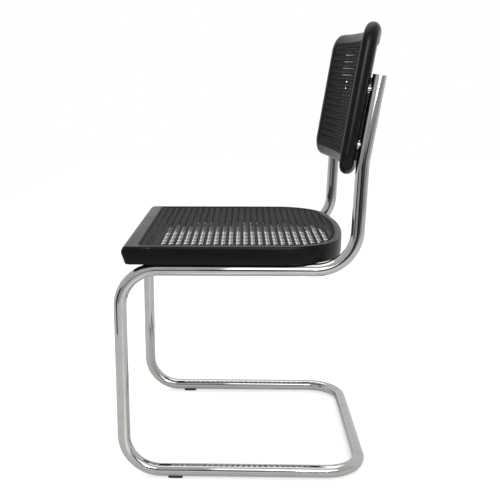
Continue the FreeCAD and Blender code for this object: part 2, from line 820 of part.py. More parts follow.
def back_spacers(back):
    """Round spacers between uprights and stiles, each shaped to the tube and to the curved wood."""
    spacers = []
    for side_name, sign in SIDES:
        upright = doc.addObject("Part::Cylinder", f"upright_by_spacers_{side_name}")
        bind(upright, "Radius", tube_radius)
        bind(upright, "Height", dim("back_height"))
        place(upright, tube_x * sign, tube_w, 0 - dim("back_height") / 2)
        for level in ("upper", "lower"):
            blank = doc.addObject("Part::Cylinder", f"spacer_blank_{level}_{side_name}")
            bind(blank, "Radius", dim("spacer_diameter") / 2)
            bind(blank, "Height", dim("back_thickness"))
            place(blank, tube_x * sign, tube_w - dim("back_thickness"), dim(f"spacer_{level}"),
                  Rotation(Vector(1, 0, 0), -90))
            trimmed = cut(f"spacer_behind_back_{level}_{side_name}", blank, back)
            spacers.append(cut(f"back_spacer_{level}_{side_name}", trimmed, upright))
    return spacers


def lean_back(piece):
    """Lean a finished back piece with the uprights and set it on them."""
    place(piece, 0, back_y, back_z, TILTED)


def make_back():
    tenons = back_tenons()
    thick = back_layer("back_thick_layer", 0, dim("back_thickness"))
    whole = common("back_whole", thick, back_slab("back_slab_outer", 0, dim("back_corner_radius")))
    doc.recompute()
    half_x, half_z = dim("back_width").value / 2, dim("back_height").value / 2
    bevel = dim("back_edge_bevel").value
    bevel_edges = []
    for number, edge in enumerate(whole.Shape.Edges, start=1):
        middle = edge.valueAt((edge.FirstParameter + edge.LastParameter) / 2)
        runs_through = abs(edge.BoundBox.YLength - edge.Length) < 0.5
        if not runs_through or max(abs(middle.x) / half_x, abs(middle.z) / half_z) < 0.5:
            bevel_edges.append((number, bevel, bevel))
    bevelled = doc.addObject("Part::Chamfer", "back_bevelled")
    bevelled.Base = whole
    bevelled.Edges = bevel_edges
    doc.recompute()

    opened = cut("back_opened", bevelled,
                 back_slab("back_slab_opening", dim("back_member"), dim("back_opening_corner")))
    groove_layer = back_layer("back_groove_layer", 0, dim("groove_depth"))
    border = dim("back_border")
    inner_inset = border + dim("groove_width")
    outer_loop = back_slab("back_slab_groove_outer", border, dim("back_corner_radius") - border)
    inner_loop = back_slab("back_slab_groove_inner", inner_inset, dim("back_corner_radius") - inner_inset)
    groove = common("back_groove", groove_layer, cut("back_loop", outer_loop, inner_loop))
    ledge = common("back_ledge", back_layer("back_ledge_layer", 0, dim("cane_thickness")), inner_loop)
    tools = doc.addObject("Part::MultiFuse", "back_cuts")
    tools.Shapes = [groove, ledge]
    doc.recompute()
    grooved = cut("back_grooved", opened, tools)
    mortises = doc.addObject("Part::Compound", "back_mortises")
    mortises.Links = tenons
    jointed = cut("back_jointed", grooved, mortises)
    doc.recompute()

    joint = dim("back_height") / 2 - dim("back_member") - dim("back_opening_corner")
    regions = {
        "back_top_rail": (-dim("back_width"), joint, dim("back_width") * 2, dim("back_height")),
        "back_bottom_rail": (-dim("back_width"), -joint - dim("back_height"), dim("back_width") * 2,
                             dim("back_height")),
        "back_left_stile": (as_size(0), -joint, dim("back_width"), joint * 2),
        "back_right_stile": (-dim("back_width"), -joint, dim("back_width"), joint * 2),
    }
    pieces = []
    for name, (x, z, width, height) in regions.items():
        box = doc.addObject("Part::Box", f"{name}_region")
        bind(box, "Length", width)
        box.Width = REACH * 2
        bind(box, "Height", height)
        place(box, x, -REACH, z)
        piece = common(name, jointed, box)
        piece.Label = name
        pieces.append(piece)

    spline_layer = back_layer("back_spline_layer", 0.3, dim("groove_depth") - 0.3)
    spline = common("back_spline", spline_layer, cut("back_spline_loop", outer_loop, inner_loop))
    spline.Label = "back_spline"
    pieces.append(spline)
    pieces.append(make_back_cane(inner_inset))
    pieces.append(group("back_tenons", tenons))
    pieces.append(group("back_spacers", back_spacers(thick)))
    for piece in pieces:
        lean_back(piece)
    return pieces


def make_back_cane(inset):
    """The curved cane: a holed face run through the back and kept only in a thin curved layer."""
    width = (dim("back_width") - inset * 2).value
    height = (dim("back_height") - inset * 2).value
    r = (dim("back_corner_radius") - inset).value
    start = -REACH / 2
    x, z = width / 2, height / 2
    k = r * (1 - math.sqrt(0.5))

    def spot(a, b):
        return Vector(a, start, b)

    def side(a, b):
        return Part.LineSegment(spot(*a), spot(*b)).toShape()

    def bow(a, b, c):
        return Part.Arc(spot(*a), spot(*b), spot(*c)).toShape()

    edges = [
        side((-x + r, -z), (x - r, -z)),
        bow((x - r, -z), (x - k, -z + k), (x, -z + r)),
        side((x, -z + r), (x, z - r)),
        bow((x, z - r), (x - k, z - k), (x - r, z)),
        side((x - r, z), (-x + r, z)),
        bow((-x + r, z), (-x + k, z - k), (-x, z - r)),
        side((-x, z - r), (-x, -z + r)),
        bow((-x, -z + r), (-x + k, -z + k), (-x + r, -z)),
    ]
    pitch, gap = DIMENSIONS["cane_pitch"], DIMENSIONS["cane_gap"]
    open_x = DIMENSIONS["back_width"] / 2 - DIMENSIONS["back_member"] - 2
    open_z = DIMENSIONS["back_height"] / 2 - DIMENSIONS["back_member"] - 2
    wires = [Part.Wire(edges)]
    for b in grid(open_z - gap / 2, pitch):
        for a in grid(open_x - gap / 2, pitch):
            wires.append(square_hole(a, b, gap, spot))
    print("back cane gaps", len(wires) - 1)
    prism = doc.addObject("Part::Feature", "back_cane_prism")
    prism.Shape = holed_face(wires).extrude(Vector(0, REACH * 1.5, 0))
    cane = common("back_cane", prism, back_layer("back_cane_layer", 0.1, dim("cane_thickness") - 0.1))
    cane.Label = "back_cane"
    return cane


# The glides: pads that carry the tube in a round seat.
def make_glide(name, x, y, turned):
    body = new_body(name)
    sketch = body_sketch(body, f"pad_{name}", "XY_Plane")
    rounded_rectangle(sketch, dim("glide_width"), dim("glide_length"), 4)
    pad = body.newObject("PartDesign::Pad", f"pad_block_{name}")
    pad.Profile = sketch
    bind(pad, "Length", dim("glide_height") + dim("glide_grip"))
    doc.recompute()
    before = pad.Shape.Volume
    round_cut = body_sketch(body, f"tube_seat_{name}", "XZ_Plane")
    add_circle(round_cut, 0, base_height, tube_radius)
    pocket = body.newObject("PartDesign::Pocket", f"tube_seat_cut_{name}")
    pocket.Profile = round_cut
    pocket.Midplane = True
    bind(pocket, "Length", dim("glide_length") + 10)
    doc.recompute()
    shrink(pocket, before, pocket.Label)
    place(body, x, y, 0, Rotation(Vector(0, 0, 1), 90) if turned else None)
    return body


parts = make_frame_tube()
parts.append(group("tube_caps", [make_tube_cap(side_name, sign) for side_name, sign in SIDES]))
parts += [make_seat_front_rail(), make_seat_bent_rim(), make_seat_spline(), make_seat_cane()]
parts.append(group("seat_tenons", make_seat_tenons()))
parts += make_back()
parts.append(group("glides_front", [
    make_glide(f"glide_front_{side_name}", tube_x * sign, dim("front_glide_y"), False)
    for side_name, sign in SIDES]))
parts.append(group("glides_rear", [
    make_glide(f"glide_rear_{side_name}", dim("rear_glide_x") * sign, rear_y, True)
    for side_name, sign in SIDES]))
doc.recompute()

for item in doc.Objects:
    if "Invalid" in item.State or "Error" in item.State:
        raise RuntimeError(f"{item.Label} failed: {item.State}")
os.makedirs("parts", exist_ok=True)
whole = FreeCAD.BoundBox()
for part in parts:
    shape = part.Shape
    if shape.isNull() or not shape.isValid() or not shape.Solids:
        raise RuntimeError(f"{part.Label} is not a valid solid")
    shape.exportStep(f"parts/{part.Label}.step")
    whole.add(shape.BoundBox)
    print(f"{part.Label:20s} solids {len(shape.Solids)}  volume {shape.Volume / 1000:9.2f} cm3")
print("low corner", whole.getPoint(0), "size", whole.XLength, whole.YLength, whole.ZLength)
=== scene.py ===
# %% [markdown]
# # A cantilever chair
# One bent steel tube carries a wooden seat and a curved wooden back, both filled with woven cane.
# The imported model gives every piece its place, so the scene starts by loading it. The finished
# chair has to stay inside it.

import math

import bmesh
import bpy
from mathutils import Matrix, Vector


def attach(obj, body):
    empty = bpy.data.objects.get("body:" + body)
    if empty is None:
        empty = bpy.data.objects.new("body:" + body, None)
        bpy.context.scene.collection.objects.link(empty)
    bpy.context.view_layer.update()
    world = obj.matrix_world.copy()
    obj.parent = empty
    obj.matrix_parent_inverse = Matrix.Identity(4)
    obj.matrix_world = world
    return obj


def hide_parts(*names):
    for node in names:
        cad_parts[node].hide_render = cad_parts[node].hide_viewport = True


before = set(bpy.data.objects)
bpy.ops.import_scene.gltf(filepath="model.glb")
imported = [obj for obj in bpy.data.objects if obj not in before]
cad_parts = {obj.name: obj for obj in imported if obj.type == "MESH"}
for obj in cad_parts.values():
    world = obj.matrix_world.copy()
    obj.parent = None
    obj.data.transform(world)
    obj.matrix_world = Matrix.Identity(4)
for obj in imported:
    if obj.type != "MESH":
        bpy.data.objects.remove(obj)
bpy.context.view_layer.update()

# %% [markdown]
# ## Sizes
# Lengths are the real ones in millimetres times MM, and angles are in degrees. X runs across the
# chair, Y from front to rear and Z up. A size that several pieces share is named once, so the rim,
# its reed and its cane meet. Corners that are less than HAIR, or half of it, apart are merged.

# %% The sizes of the tube
MM = 0.001
HAIR = 0.01 * MM
TUBE_RADIUS = 12 * MM
TUBE_BORE = 10 * MM
TUBE_RECESS = 8.2 * MM
TUBE_X = 216 * MM
BASE_Z = 15 * MM
LEG_Y = -236 * MM
REAR_Y = 218.5 * MM
BEND = 70 * MM
UPPER_BEND = 72 * MM
SEAT_TUBE_Z = 410 * MM
KINK_Y = 197.4 * MM
KINK_Z = 604 * MM
KINK_RADIUS = 150 * MM
UPRIGHT_LEAN = 2
LEAN = 9
TUBE_TOP_Z = 750.5 * MM
lean_sine, lean_cosine = math.sin(math.radians(LEAN)), math.cos(math.radians(LEAN))
print("thickness of the tube:", round(2 * TUBE_RADIUS, 4), "its top at z:", round(TUBE_TOP_Z, 4))

# %% [markdown]
# The wood has a plain border between its outer edge and a groove. The reed sits in the groove, and
# inside it lies a ledge, a little lower than the border, which carries the edge of the cane.

# %% The sizes of the seat
SEAT_TOP = 455 * MM
SEAT_THICKNESS = 33 * MM
SEAT_HALF = 232 * MM
SEAT_FRONT_Y = -230.5 * MM
SEAT_REAR_Y = 186.4 * MM
RAIL_DEPTH = 54 * MM
RAIL_BORDER = 29.5 * MM
RIM_BORDER = 13 * MM
RIM_WIDTH = 20 * MM
RIM_ROUND = 4 * MM
GROOVE = 4 * MM
GROOVE_DEPTH = 3 * MM
GROOVE_CORNER = 10 * MM
LEDGE_DEPTH = 1.8 * MM
CORNER = 110 * MM
REAR_ARC = 700 * MM
corner_x = SEAT_HALF - CORNER
arc_y = SEAT_REAR_Y - REAR_ARC
corner_y = arc_y + math.sqrt((REAR_ARC - CORNER) ** 2 - corner_x ** 2)
corner_turn = math.degrees(math.atan2(corner_y - arc_y, corner_x))
print("rear corner centre:", round(corner_x, 4), round(corner_y, 4), "turn:", round(corner_turn, 2))

# %% The sizes of the back
BACK_HALF = 232 * MM
BACK_RISE = 132 * MM
BACK_THICKNESS = 25 * MM
BACK_RADIUS = 857 * MM
BACK_CORNER = 38 * MM
BACK_MEMBER = 32 * MM
BACK_BORDER = 20 * MM
BACK_Z = 712.5 * MM
BACK_CLEARANCE = 2.4 * MM
back_sag = BACK_RADIUS - math.sqrt(BACK_RADIUS ** 2 - BACK_HALF ** 2)
tube_reach = BACK_RADIUS + BACK_THICKNESS / 2 + BACK_CLEARANCE + TUBE_RADIUS
tube_depth = back_sag - BACK_RADIUS + math.sqrt(tube_reach ** 2 - TUBE_X ** 2)
back_y = KINK_Y + (BACK_Z - KINK_Z) * lean_sine / lean_cosine - tube_depth / lean_cosine
print("sag of the back:", round(back_sag, 4), "its middle at y:", round(back_y, 4))

# %% [markdown]
# ## Arithmetic in the materials
# A shader is easier to read as a sum than as a row of Math nodes. A small class wraps a node's output
# and turns +, - and * into Math nodes. One method makes every other node.

# %% Values of nodes
class Value:
    """The output of a node, on which ordinary arithmetic works."""

    def __init__(self, finish, socket):
        self.finish = finish
        self.socket = socket

    def combine(self, operation, first, second):
        return self.finish.node("ShaderNodeMath", {"operation": operation}, {0: first, 1: second})

    def __add__(self, other):
        return self.combine("ADD", self, other)

    def __radd__(self, other):
        return self.combine("ADD", other, self)

    def __sub__(self, other):
        return self.combine("SUBTRACT", self, other)

    def __rsub__(self, other):
        return self.combine("SUBTRACT", other, self)

    def __mul__(self, other):
        return self.combine("MULTIPLY", self, other)

    def __rmul__(self, other):
        return self.combine("MULTIPLY", other, self)


# %% Finishes
class Finish:
    """A material in the making."""

    def __init__(self, name):
        self.material = bpy.data.materials.new(name)
        self.material.use_nodes = True
        self.tree = self.material.node_tree
        self.tree.nodes.clear()

    def node(self, kind, settings=None, inputs=None, output=0):
        """Make a node, set it, fill or link its inputs, and give back one of its outputs."""
        made = self.tree.nodes.new(kind)
        for key, setting in (settings or {}).items():
            setattr(made, key, setting)
        for key, given in (inputs or {}).items():
            if isinstance(given, Value):
                self.tree.links.new(given.socket, made.inputs[key])
            else:
                made.inputs[key].default_value = given
        return Value(self, made.outputs[output]) if made.outputs else None

    def mapping(self, point, **change):
        return self.node("ShaderNodeMapping", {"vector_type": "POINT"}, {"Vector": point, **change})

    def place(self, stretch=(1, 1, 1), turn=(0, 0, 0)):
        """The point on the chair, in metres, turned and then stretched to set a pattern's size."""
        point = self.node("ShaderNodeTexCoord", output="Object")
        turned = self.mapping(point, Rotation=tuple(math.radians(angle) for angle in turn))
        return self.mapping(turned, Scale=stretch)

    def noise(self, point, scale, detail):
        """Cloudy values round a half. Their size is about one metre divided by the scale."""
        inputs = {"Vector": point, "Scale": scale, "Detail": detail}
        return self.node("ShaderNodeTexNoise", {}, inputs, "Fac")

    def band(self, value, low, high):
        """A soft step: 0 below low, 1 above high."""
        return self.node("ShaderNodeMapRange", {"interpolation_type": "SMOOTHSTEP"},
                         {"Value": value, "From Min": low, "From Max": high}, "Result")

    def blend(self, amount, first, second):
        """From the first colour to the second. Each may be written out or come from a node."""
        first, second = (given if isinstance(given, Value) else (*given, 1) for given in (first, second))
        return self.node("ShaderNodeMixRGB", {}, {"Fac": amount, "Color1": first, "Color2": second})

    def bump(self, height, distance, strength):
        inputs = {"Height": height, "Distance": distance, "Strength": strength}
        return self.node("ShaderNodeBump", {}, inputs)

    def done(self, **sockets):
        """Close the material with a surface whose sockets are given by name."""
        named = {key.replace("_", " "): given for key, given in sockets.items()}
        surface = self.node("ShaderNodeBsdfPrincipled", {}, named)
        self.node("ShaderNodeOutputMaterial", {}, {"Surface": surface})
        return self.material


# %% [markdown]
# ## The chromed steel
# Polished chrome is nearly a mirror, so its look comes from what stands round it. What makes it real
# is what a cloth leaves behind: faint smears that dull it here and there, and hair-fine wiping marks.

# %% Chrome
CLEAN_CHROME, SMEARED_CHROME = (0.50, 0.495, 0.485), (0.455, 0.45, 0.44)


def make_chrome():
    finish = Finish("polished_chrome")
    smear = finish.noise(finish.place(), scale=26.0, detail=4.0)
    hairs = finish.noise(finish.place(stretch=(1, 1, 0.03), turn=(12, 0, 0)), scale=2600.0, detail=2.0)
    ripple = finish.noise(finish.place(stretch=(1, 0.3, 0.3)), scale=60.0, detail=1.0)
    dull = finish.band(smear, 0.45, 0.75)
    return finish.done(
        Base_Color=finish.blend(dull, CLEAN_CHROME, SMEARED_CHROME),
        Metallic=1.0,
        Roughness=0.03 + dull * 0.05 + hairs * 0.02,
        Normal=finish.bump(ripple * 0.6 + hairs * 0.05, distance=0.25 * MM, strength=0.35))


chrome = make_chrome()
print("material:", chrome.name)

# %% [markdown]
# ## The black lacquered wood
# The wood is beech under a satin black lacquer. Its pores still show as short dark dashes along the
# grain, because the lacquer only half fills them, and handling polishes it a little unevenly. The
# grain turns with each piece, so there is one lacquer for each way that the wood runs.

# %% Lacquer
DARK_GRAIN, LIGHT_GRAIN = (0.0026, 0.0025, 0.0025), (0.0052, 0.0048, 0.0046)
PORE_BLACK = (0.0012, 0.0012, 0.0012)


def make_lacquer(name, turn):
    """Lacquer over wood whose grain runs along X before the turn."""
    finish = Finish(name)
    pores = finish.noise(finish.place(stretch=(0.06, 1, 1), turn=turn), scale=1400.0, detail=2.0)
    grain = finish.noise(finish.place(stretch=(0.1, 1, 1), turn=turn), scale=170.0, detail=5.0)
    handled = finish.noise(finish.place(), scale=14.0, detail=3.0)
    pore = finish.band(pores, 0.62, 0.74)
    shade = finish.blend(finish.band(grain, 0.35, 0.7), DARK_GRAIN, LIGHT_GRAIN)
    return finish.done(
        Base_Color=finish.blend(pore * 0.6, shade, PORE_BLACK),
        Roughness=0.25 + handled * 0.12 + pore * 0.12,
        Specular_IOR_Level=0.16,
        Normal=finish.bump(grain * 0.35 - pore * 0.5, distance=0.3 * MM, strength=0.22))


lacquer_across = make_lacquer("black_lacquer_across", (0, 0, 0))
lacquer_along = make_lacquer("black_lacquer_along", (0, 0, 90))
lacquer_upright = make_lacquer("black_lacquer_upright", (0, 90, 0))
print("lacquer for", lacquer_across.name, lacquer_along.name, lacquer_upright.name)

# %% [markdown]
# ## The cane and the reed
# Cane is the skin of a climbing palm, split into flat strands. Its fibres run along each strand, and
# under the black stain they catch the light as fine lines. So every direction in which strands run
# has a finish of its own. The reed that locks the cane is oval and duller.

# %% Cane and reed
DARK_FIBRE, LIGHT_FIBRE = (0.003, 0.0028, 0.0026), (0.009, 0.008, 0.007)
THIN_STAIN = (0.016, 0.013, 0.010)
DARK_REED, LIGHT_REED = (0.003, 0.003, 0.003), (0.009, 0.008, 0.008)


def make_cane(name, turn):
    """Stained cane whose fibres run along X before the turn."""
    finish = Finish(name)
    fibres = finish.noise(finish.place(stretch=(0.025, 1, 1), turn=turn), scale=2400.0, detail=3.0)
    patches = finish.noise(finish.place(), scale=45.0, detail=2.0)
    shade = finish.blend(finish.band(fibres, 0.3, 0.7), DARK_FIBRE, LIGHT_FIBRE)
    return finish.done(
        Base_Color=finish.blend(finish.band(patches, 0.5, 0.8) * 0.5, shade, THIN_STAIN),
        Roughness=0.34 + fibres * 0.2 + patches * 0.1,
        Specular_IOR_Level=0.18,
        Normal=finish.bump(fibres, distance=0.12 * MM, strength=0.6))


def make_reed():
    finish = Finish("stained_reed")
    fibres = finish.noise(finish.place(), scale=900.0, detail=4.0)
    return finish.done(
        Base_Color=finish.blend(fibres, DARK_REED, LIGHT_REED),
        Roughness=0.5 + fibres * 0.15,
        Specular_IOR_Level=0.08,
        Normal=finish.bump(fibres, distance=0.2 * MM, strength=0.4))


seat_cane = {
    "across": make_cane("cane_across", (0, 0, 0)),
    "along": make_cane("cane_along", (0, 0, 90)),
    "slant_a": make_cane("cane_seat_slant_a", (0, 0, -45)),
    "slant_b": make_cane("cane_seat_slant_b", (0, 0, 45))}
back_cane = {
    "across": seat_cane["across"],
    "along": make_cane("cane_upright", (0, 90, 0)),
    "slant_a": make_cane("cane_back_slant_a", (0, -45, 0)),
    "slant_b": make_cane("cane_back_slant_b", (0, 45, 0))}
reed = make_reed()
print("cane finishes:", len({*seat_cane.values(), *back_cane.values()}))

# %% [markdown]
# ## The small parts
# The glides are moulded plastic, scuffed where they slide. The screws under the seat are turned
# steel, while those behind the back are chromed like the tube. The tongues inside the joints are
# plain beech, which only shows if the chair is taken apart.

# %% Plastic, steel and beech
MOULDED, SCUFFED = (0.014, 0.014, 0.015), (0.05, 0.05, 0.05)
DARK_STEEL, LIGHT_STEEL = (0.42, 0.42, 0.43), (0.58, 0.58, 0.59)
DARK_BEECH, LIGHT_BEECH = (0.45, 0.29, 0.16), (0.62, 0.45, 0.29)


def make_plastic():
    finish = Finish("moulded_plastic")
    texture = finish.noise(finish.place(), scale=1500.0, detail=2.0)
    scuffs = finish.noise(finish.place(stretch=(1, 0.1, 1)), scale=220.0, detail=4.0)
    scuffed = finish.band(scuffs, 0.5, 0.75)
    return finish.done(
        Base_Color=finish.blend(scuffed, MOULDED, SCUFFED),
        Roughness=0.5 + scuffed * 0.2,
        Normal=finish.bump(texture, distance=0.2 * MM, strength=0.5))


def make_steel():
    finish = Finish("turned_steel")
    marks = finish.noise(finish.place(stretch=(1, 0.2, 1)), scale=1800.0, detail=2.0)
    return finish.done(
        Base_Color=finish.blend(marks, DARK_STEEL, LIGHT_STEEL),
        Metallic=1.0,
        Roughness=0.2 + marks * 0.18,
        Normal=finish.bump(marks, distance=0.1 * MM, strength=0.4))


def make_beech():
    finish = Finish("plain_beech")
    grain = finish.noise(finish.place(stretch=(1, 0.06, 0.06)), scale=500.0, detail=4.0)
    return finish.done(
        Base_Color=finish.blend(grain, DARK_BEECH, LIGHT_BEECH),
        Roughness=0.6 + grain * 0.15,
        Normal=finish.bump(grain, distance=0.3 * MM, strength=0.4))


plastic, steel, beech = make_plastic(), make_steel(), make_beech()
print("small parts:", plastic.name, steel.name, beech.name)

# %% [markdown]
# ## How the long pieces are made
# The tube, the rim, the rails and the reed all have one section that follows a path. So a flat end
# face is drawn once, and then it grows: straight on, or round a bend. This is what a bending bench
# does to a tube, and the walls stay true to the section. The chair is symmetric, so half is enough.

# %% Pick, turn and move
def whole(faces):
    """The faces with their edges and corners, as the operators want them."""
    edges = {edge for face in faces for edge in face.edges}
    corners = {corner for face in faces for corner in face.verts}
    return [*faces, *edges, *corners]


def only(kind, geometry):
    """The items of one kind in what an operator gives back."""
    return [item for item in geometry if isinstance(item, kind)]


def turn_all(bm, angle, axis):
    bmesh.ops.rotate(bm, verts=bm.verts, matrix=Matrix.Rotation(math.radians(angle), 3, axis))


def move_all(bm, way):
    bmesh.ops.translate(bm, verts=bm.verts, vec=way)


# %% A section that grows along a path
def section(bm, corners, rounds):
    """A flat end. A round gives a corner's number, its radius and the steps of its curve."""
    points = [bm.verts.new(corner) for corner in corners]
    bm.faces.new(points)
    for number, radius, steps in rounds:
        bmesh.ops.bevel(bm, geom=[points[number]], offset=radius, offset_type="OFFSET", segments=steps,
                        profile=0.5, affect="VERTICES", material=-1, clamp_overlap=False)
    return whole(bm.faces[:])


def straight(bm, end, way, steps=1):
    """Push the end face along, and give back the new end."""
    for _ in range(steps):
        end = bmesh.ops.extrude_face_region(bm, geom=end)["geom"]
        bmesh.ops.translate(bm, verts=only(bmesh.types.BMVert, end), vec=Vector(way) / steps)
    return end


def bend(bm, end, centre, axis, angle, steps):
    """Swing the end face round an axis, and give back the new end."""
    return bmesh.ops.spin(bm, geom=end, cent=centre, axis=axis, angle=math.radians(angle), steps=steps,
                          use_merge=False, use_duplicate=False)["geom_last"]


def mirror_half(bm, joined=True):
    """The other half of the chair. Where the halves meet, the flat end goes first."""
    if joined:
        middle = [face for face in bm.faces if all(abs(corner.co.x) < HAIR for corner in face.verts)]
        bmesh.ops.delete(bm, geom=middle, context="FACES_ONLY")
    bmesh.ops.mirror(bm, geom=whole(bm.faces[:]), axis="X", merge_dist=HAIR)


# %% [markdown]
# ## Finishing a piece
# Every new piece gets the same last steps. Doubled corners are merged, faces turned outwards, and
# sharp edges kept sharp while the rest is shaded smooth. Then it is tied to the chair's one body.

# %% From a bmesh to a piece of the chair
def finish_piece(bm, name, material, stands_for=(), sharp=38):
    """Clean and shade the mesh, tie the new piece to the body, and hide the imported nodes it stands for.
    """
    bmesh.ops.remove_doubles(bm, verts=bm.verts, dist=HAIR / 2)
    bmesh.ops.recalc_face_normals(bm, faces=bm.faces)
    for face in bm.faces:
        face.smooth = True
    for edge in bm.edges:
        if len(edge.link_faces) == 2 and edge.calc_face_angle() > math.radians(sharp):
            edge.smooth = False
    mesh = bpy.data.meshes.new(name)
    bm.to_mesh(mesh)
    open_edges = sum(1 for edge in bm.edges if len(edge.link_faces) != 2)
    bm.free()
    mesh.materials.append(material)
    piece = bpy.data.objects.new(name, mesh)
    bpy.context.scene.collection.objects.link(piece)
    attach(piece, "root")
    if stands_for:
        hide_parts(*stands_for)
    triangles = sum(len(polygon.vertices) - 2 for polygon in mesh.polygons)
    print(name, "triangles:", triangles, "edges without two faces:", open_edges)


# %% [markdown]
# ## The steel tube
# The path runs from the middle of the cross tube at the rear, forward along the floor, up the leg,
# back under the seat and up to the back. The upper bend is open by two degrees, and a gentle kink
# higher up gives the back its lean. At its top the tube gets a recess for the cap. One mirrored
# sweep makes the tube as the maker bends it.

# %% Sweep the tube
BEND_STEPS, KINK_STEPS, ROUND_SEGMENTS = 24, 8, 64


def sweep_base(bm):
    """The cross tube, the run along the floor and the leg, to where the seat tube starts."""
    bmesh.ops.create_circle(bm, cap_ends=True, segments=ROUND_SEGMENTS, radius=TUBE_RADIUS)
    turn_all(bm, 90, "Y")
    move_all(bm, (0, REAR_Y, BASE_Z))
    end = straight(bm, whole(bm.faces[:]), (TUBE_X - BEND, 0, 0))
    end = bend(bm, end, (TUBE_X - BEND, REAR_Y - BEND, BASE_Z), (0, 0, 1), -90, BEND_STEPS)
    end = straight(bm, end, (0, LEG_Y + 2 * BEND - REAR_Y, 0))
    end = bend(bm, end, (TUBE_X, LEG_Y + BEND, BASE_Z + BEND), (1, 0, 0), -90, BEND_STEPS)
    end = straight(bm, end, (0, 0, SEAT_TUBE_Z - BASE_Z - 2 * BEND))
    return bend(bm, end, (TUBE_X, LEG_Y + BEND, SEAT_TUBE_Z - BEND), (1, 0, 0), -90, BEND_STEPS)


def sweep_upright(bm, end):
    """The seat tube, the upper bend and the upright, with its kink and the recess in its top."""
    turn = 90 - UPRIGHT_LEAN
    rise = Vector((0, math.sin(math.radians(UPRIGHT_LEAN)), math.cos(math.radians(UPRIGHT_LEAN))))
    foot_y = KINK_Y - (KINK_Z - SEAT_TUBE_Z) * rise.y / rise.z
    bend_reach = UPPER_BEND * math.tan(math.radians(turn) / 2)
    end = straight(bm, end, (0, foot_y - bend_reach - LEG_Y - BEND, 0))
    upper_centre = (TUBE_X, foot_y - bend_reach, SEAT_TUBE_Z + UPPER_BEND)
    end = bend(bm, end, upper_centre, (1, 0, 0), turn, BEND_STEPS)
    kink_reach = KINK_RADIUS * math.tan(math.radians(LEAN - UPRIGHT_LEAN) / 2)
    length = (KINK_Z - SEAT_TUBE_Z) / rise.z - bend_reach - kink_reach
    end = straight(bm, end, rise * length)
    low = Vector((TUBE_X, KINK_Y, KINK_Z)) - rise * kink_reach
    kink_centre = low + KINK_RADIUS * Vector((0, rise.z, -rise.y))
    end = bend(bm, end, kink_centre, (1, 0, 0), UPRIGHT_LEAN - LEAN, KINK_STEPS)
    lean = Vector((0, lean_sine, lean_cosine))
    end = straight(bm, end, lean * ((TUBE_TOP_Z - KINK_Z) / lean_cosine - kink_reach))
    top = only(bmesh.types.BMFace, end)
    bmesh.ops.inset_region(bm, faces=top, thickness=TUBE_RADIUS - TUBE_BORE, use_even_offset=True)
    straight(bm, whole(top), -TUBE_RECESS * lean)


def make_tube():
    bm = bmesh.new()
    sweep_upright(bm, sweep_base(bm))
    mirror_half(bm)
    lengths = [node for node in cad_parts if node.startswith("frame_")]
    finish_piece(bm, "bent_tube", chrome, lengths)


make_tube()

# %% [markdown]
# ## The end caps
# Each upright ends in a flat metal cap with a short plug. It is a turned part, so a wider disc whose
# edge is rounded sits on the plug. A negative inset grows outwards and makes the disc's underside.
# The soft edge is what catches the light from above.

# %% Turn the caps
CAP_PLUG, CAP_THICKNESS, CAP_EDGE, PLUG_PLAY = 8 * MM, 2 * MM, 0.7 * MM, 0.05 * MM


def make_caps():
    bm = bmesh.new()
    plug_radius = TUBE_BORE - PLUG_PLAY
    bmesh.ops.create_circle(bm, cap_ends=True, segments=ROUND_SEGMENTS, radius=plug_radius)
    end = straight(bm, whole(bm.faces[:]), (0, 0, CAP_PLUG))
    plug_top = only(bmesh.types.BMFace, end)
    bmesh.ops.inset_region(bm, faces=plug_top, thickness=plug_radius - TUBE_RADIUS)
    disc = bmesh.ops.create_circle(bm, cap_ends=True, segments=ROUND_SEGMENTS, radius=TUBE_RADIUS)
    bmesh.ops.translate(bm, verts=disc["verts"], vec=(0, 0, CAP_PLUG))
    end = whole(list({face for corner in disc["verts"] for face in corner.link_faces}))
    end = straight(bm, end, (0, 0, CAP_THICKNESS))
    bmesh.ops.bevel(bm, geom=only(bmesh.types.BMEdge, end), offset=CAP_EDGE, segments=4, profile=0.5,
                    affect="EDGES", material=-1)
    turn_all(bm, -LEAN, "X")
    top_y = KINK_Y + (TUBE_TOP_Z - KINK_Z) * lean_sine / lean_cosine
    move_all(bm, Vector((TUBE_X, top_y, TUBE_TOP_Z)) - CAP_PLUG * Vector((0, lean_sine, lean_cosine)))
    mirror_half(bm, joined=False)
    finish_piece(bm, "upright_caps", chrome, ["tube_caps"])


make_caps()

# %% [markdown]
# ## The seat's bent rim
# A strip of beech is steamed and bent round the sides and the rear. Its section is a block with a
# soft outer edge, a groove for the reed and a ledge that the cane lies on. The section starts
# behind the front rail, runs back, turns the corner and follows the shallow arc of the rear.

# %% Bend the rim
CORNER_STEPS, ARC_STEPS = 30, 10
SEAT_JOINT_GAP = 0.05 * MM
GROOVE_ROUND, OUTER_FOOT_ROUND, INNER_FOOT_ROUND = 0.6 * MM, 1.5 * MM, 2 * MM


